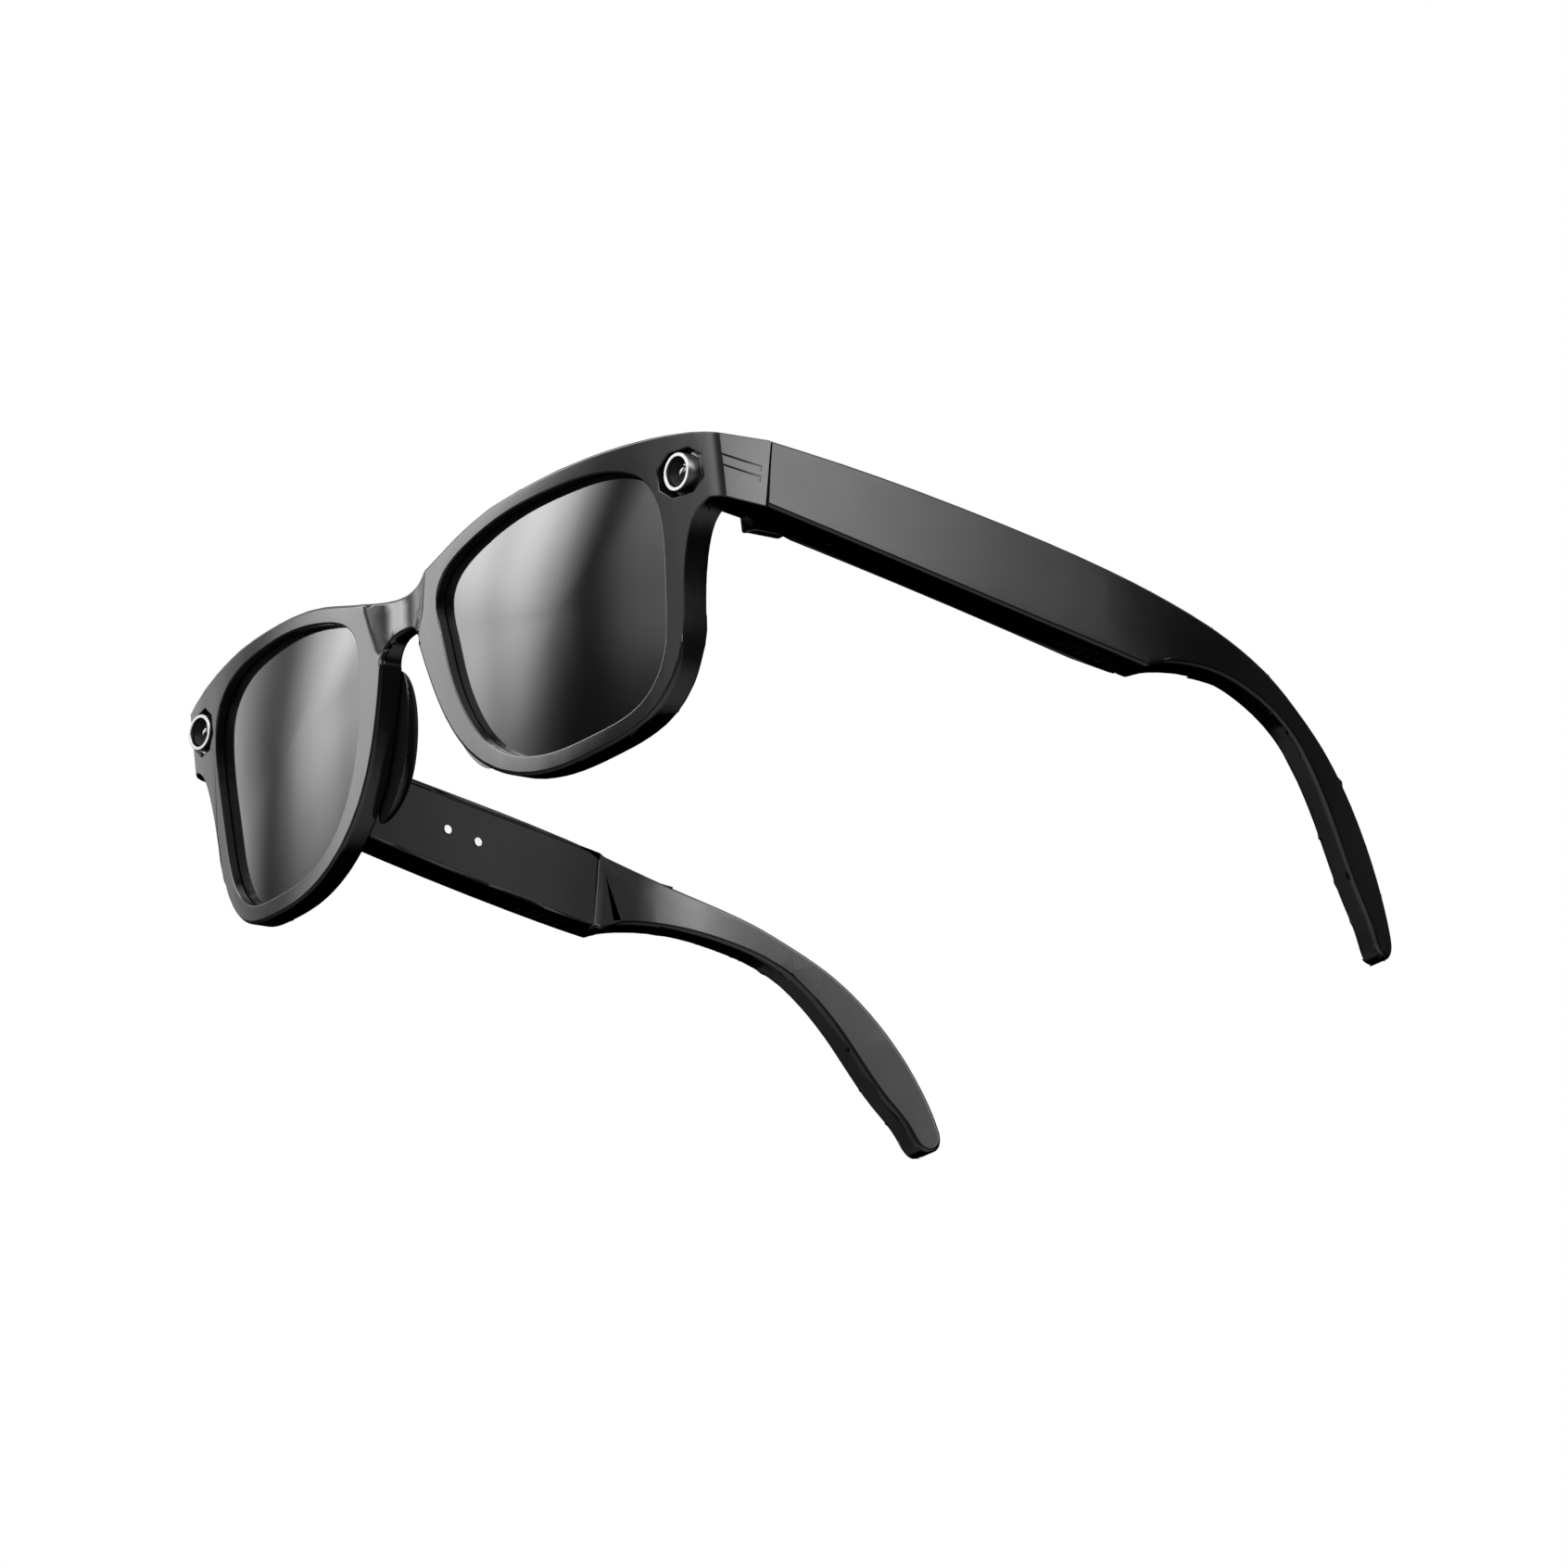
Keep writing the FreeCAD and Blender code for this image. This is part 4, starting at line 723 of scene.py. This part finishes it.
cover_black = finish("satin black cover", (0.0035, 0.0035, 0.0035), (0.0055, 0.0055, 0.0055), (0.2, 0.27),
                     relief=0.15)
cover_black.node_tree.nodes["Principled BSDF"].inputs["Specular IOR Level"].default_value = 0.2
pin_metal = finish("plated contact", (0.16, 0.155, 0.14), (0.42, 0.41, 0.38), (0.15, 0.4), flow=900.0,
                   grain=3500.0, relief=0.35, metal=1.0)
magnet_nickel = finish("nickel-plated magnet", (0.55, 0.54, 0.5), (0.7, 0.69, 0.66), (0.18, 0.3), flow=600.0,
                       grain=2500.0, relief=0.2, metal=1.0)
give(cover_black, *both("temple_cover"))
give(pin_metal, "charging_pins")
give(magnet_nickel, "charging_magnets")

# ---------- Battery, sound and switches ----------
# The pouch cells are wrapped in dull aluminium foil. The speakers and microphones are black boxed modules,
# and a thin blackened steel mesh keeps dust out of the sound slots. The buttons are moulded like the shells.

foil = finish("battery foil", (0.42, 0.43, 0.45), (0.6, 0.61, 0.63), (0.3, 0.5), flow=90.0, grain=500.0,
              relief=0.9, metal=1.0)
module_black = finish("black module case", (0.008, 0.008, 0.009), (0.016, 0.016, 0.017), (0.4, 0.55),
                      flow=300.0, grain=1500.0, relief=0.5)
switch_black = finish("black switch case", (0.01, 0.01, 0.01), (0.02, 0.02, 0.02), (0.35, 0.5), flow=500.0,
                      grain=2500.0, relief=0.4)
mesh_steel = finish("blackened mesh wire", (0.02, 0.02, 0.02), (0.045, 0.045, 0.045), (0.35, 0.5),
                    flow=700.0, grain=4000.0, relief=0.3, metal=1.0)
give(foil, *both("battery"))
give(module_black, *both("speaker"), *both("microphone"))
give(switch_black, "capture_switch", "power_switch")
give(mesh_steel, *both("speaker_mesh"))
give(temple_gloss, "capture_button", "power_button")

# ---------- Studio ----------
# A plain white studio. The glasses hang above a pale floor, so that they can be seen from below, and soft
# panels stand round them. Under the glasses there is only a faint glow.

FLOOR_DROP = 0.85
FLOOR_HALF = 4.0
floor_mesh = bpy.data.meshes.new("floor")
floor_mesh.from_pydata([(x * FLOOR_HALF, y * FLOOR_HALF, -FLOOR_DROP)
                        for x, y in ((-1, -1), (1, -1), (1, 1), (-1, 1))], [], [(0, 1, 2, 3)])
floor = bpy.data.objects.new("floor", floor_mesh)
bpy.context.scene.collection.objects.link(floor)
floor_mesh.materials.append(finish("pale paper", (0.78, 0.78, 0.78), (0.82, 0.82, 0.82), (0.85, 0.95),
                                   flow=2.0, grain=60.0, relief=0.1))
floor.visible_glossy = False
floor.visible_diffuse = False


def directed(azimuth, elevation):
    """The direction at these degrees from the front towards +X, and above level."""
    a, e = math.radians(azimuth), math.radians(elevation)
    return Vector((math.sin(a) * math.cos(e), -math.cos(a) * math.cos(e), math.sin(e)))


CAMERA_AIM = Vector((1.5, -1.3, 29.6)) * MM
CAMERA_SIDE, CAMERA_RISE, CAMERA_ROLL = 50.02, -23.85, -0.37
CAMERA_DISTANCE = 1.223
camera = bpy.data.objects.new("camera", bpy.data.cameras.new("camera"))
bpy.context.scene.collection.objects.link(camera)
camera.data.lens = 166.0
camera.data.sensor_width = 36.0
camera.data.clip_start = 0.05
stand = CAMERA_AIM + directed(CAMERA_SIDE, CAMERA_RISE) * CAMERA_DISTANCE
look = (stand - CAMERA_AIM).to_track_quat("Z", "Y").to_matrix().to_4x4()
camera.matrix_world = Matrix.Translation(stand) @ look @ Matrix.Rotation(math.radians(CAMERA_ROLL), 4, "Z")
bpy.context.scene.camera = camera

# Strength of the soft panels round the glasses: degrees from the front towards +X, then strength.
PANELS = [(-180, 0.06), (-112, 0.06), (-90, 0.8), (-80, 0.6), (-69, 0.35), (-63, 1.6), (-57, 3.2),
          (-51, 4.2), (-46, 3.8), (-41, 4.8), (-37, 4.0), (-33, 2.1), (-29, 0.7), (-24, 0.2), (-17, 1.1),
          (-6, 2.0), (33, 2.6), (55, 0.8), (77, 0.25), (94, 0.35), (99, 1.5), (105, 3.2), (111, 3.0),
          (117, 2.1), (120, 1.5), (124, 0.4), (128, 0.0), (146, 0.0), (180, 0.06)]
# Share of it by height: degrees above level, then share.
HEIGHTS = [(-90, 0.0), (-12, 0.0), (-2, 0.05), (5, 0.15), (9, 0.45), (13, 1.0), (19, 1.7), (25, 2.0),
           (40, 1.7), (60, 1.2), (90, 0.8)]
# The low glow, off the paper: strength round the glasses, and its share by height.
LOW_GLOW = [(-180, 0.0), (-106, 0.0), (-90, 0.25), (-40, 0.35), (20, 0.8), (100, 0.9), (160, 0.5),
            (180, 0.0)]
LOW_HEIGHTS = [(-90, 0.5), (-60, 1.0), (-40, 0.9), (-20, 0.5), (-10, 0.15), (-4, 0.0), (90, 0.0)]
# The ceiling: degrees above level, then strength.
CEILING = [(-90, 0.0), (34, 0.0), (48, 0.5), (90, 1.2)]
SLANT = 0.5             # the panels lean: degrees of turn per degree of height
SLANT_LEVEL = 13.0      # above and below this many degrees
BACKDROP = 1.0          # the white behind the glasses
PANEL_TOP = 10.0        # the most that each ramp can give
HEIGHT_TOP = 2.0
CEILING_TOP = 2.0


def ramp(tree, stops, low, high, top):
    """A smooth ramp through (degrees, value) stops."""
    scale = tree.nodes.new("ShaderNodeMapRange")
    scale.inputs["From Min"].default_value = math.radians(low)
    scale.inputs["From Max"].default_value = math.radians(high)
    grade = tree.nodes.new("ShaderNodeValToRGB")
    grade.color_ramp.interpolation = "CARDINAL"
    elements = grade.color_ramp.elements
    while len(elements) < len(stops):
        elements.new(0.5)
    for element, (degrees, value) in zip(elements, stops):
        element.position = (degrees - low) / (high - low)
    for element, (degrees, value) in zip(elements, stops):
        element.color = (value / top, value / top, value / top, 1)
    tree.links.new(scale.outputs["Result"], grade.inputs["Fac"])
    return scale.inputs["Value"], grade.outputs["Color"]


world = bpy.data.worlds.new("white studio")
bpy.context.scene.world = world
world.use_nodes = True
tree = world.node_tree
tree.nodes.clear()


def math_node(operation, *values):
    """A sum in the world's tree, on numbers or other nodes' outputs."""
    node = tree.nodes.new("ShaderNodeMath")
    node.operation = operation
    for socket, value in zip(node.inputs, values):
        if isinstance(value, (int, float)):
            socket.default_value = value
        else:
            tree.links.new(value, socket)
    return node.outputs[0]


heading = tree.nodes.new("ShaderNodeTexCoord")
parts = tree.nodes.new("ShaderNodeSeparateXYZ")
tree.links.new(heading.outputs["Generated"], parts.inputs[0])
turn = math_node("ARCTAN2", parts.outputs["X"], math_node("MULTIPLY", parts.outputs["Y"], -1.0))
rise = math_node("ARCSINE", parts.outputs["Z"])
above = math_node("SUBTRACT", rise, math.radians(SLANT_LEVEL))
leaned = math_node("SUBTRACT", turn, math_node("MULTIPLY", above, SLANT))
panel_in, panel_out = ramp(tree, PANELS, -180, 180, PANEL_TOP)
height_in, height_out = ramp(tree, HEIGHTS, -90, 90, HEIGHT_TOP)
low_in, low_out = ramp(tree, LOW_GLOW, -180, 180, 1.0)
share_in, share_out = ramp(tree, LOW_HEIGHTS, -90, 90, 1.0)
ceiling_in, ceiling_out = ramp(tree, CEILING, -90, 90, CEILING_TOP)
tree.links.new(leaned, panel_in)
tree.links.new(rise, height_in)
tree.links.new(turn, low_in)
tree.links.new(rise, share_in)
tree.links.new(rise, ceiling_in)
panels = math_node("MULTIPLY", math_node("MULTIPLY", panel_out, PANEL_TOP),
                   math_node("MULTIPLY", height_out, HEIGHT_TOP))
low = math_node("MULTIPLY", low_out, share_out)
total = math_node("ADD", math_node("ADD", panels, low), math_node("MULTIPLY", ceiling_out, CEILING_TOP))
glow = tree.nodes.new("ShaderNodeBackground")
tree.links.new(total, glow.inputs["Strength"])
backdrop = tree.nodes.new("ShaderNodeBackground")
backdrop.inputs["Strength"].default_value = BACKDROP
seen = tree.nodes.new("ShaderNodeLightPath")
mix = tree.nodes.new("ShaderNodeMixShader")
out = tree.nodes.new("ShaderNodeOutputWorld")
for background in (glow, backdrop):
    background.inputs["Color"].default_value = (1, 1, 1, 1)
tree.links.new(seen.outputs["Is Camera Ray"], mix.inputs["Fac"])
tree.links.new(glow.outputs["Background"], mix.inputs[1])
tree.links.new(backdrop.outputs["Background"], mix.inputs[2])
tree.links.new(mix.outputs["Shader"], out.inputs["Surface"])
bpy.context.scene.view_settings.view_transform = "Standard"
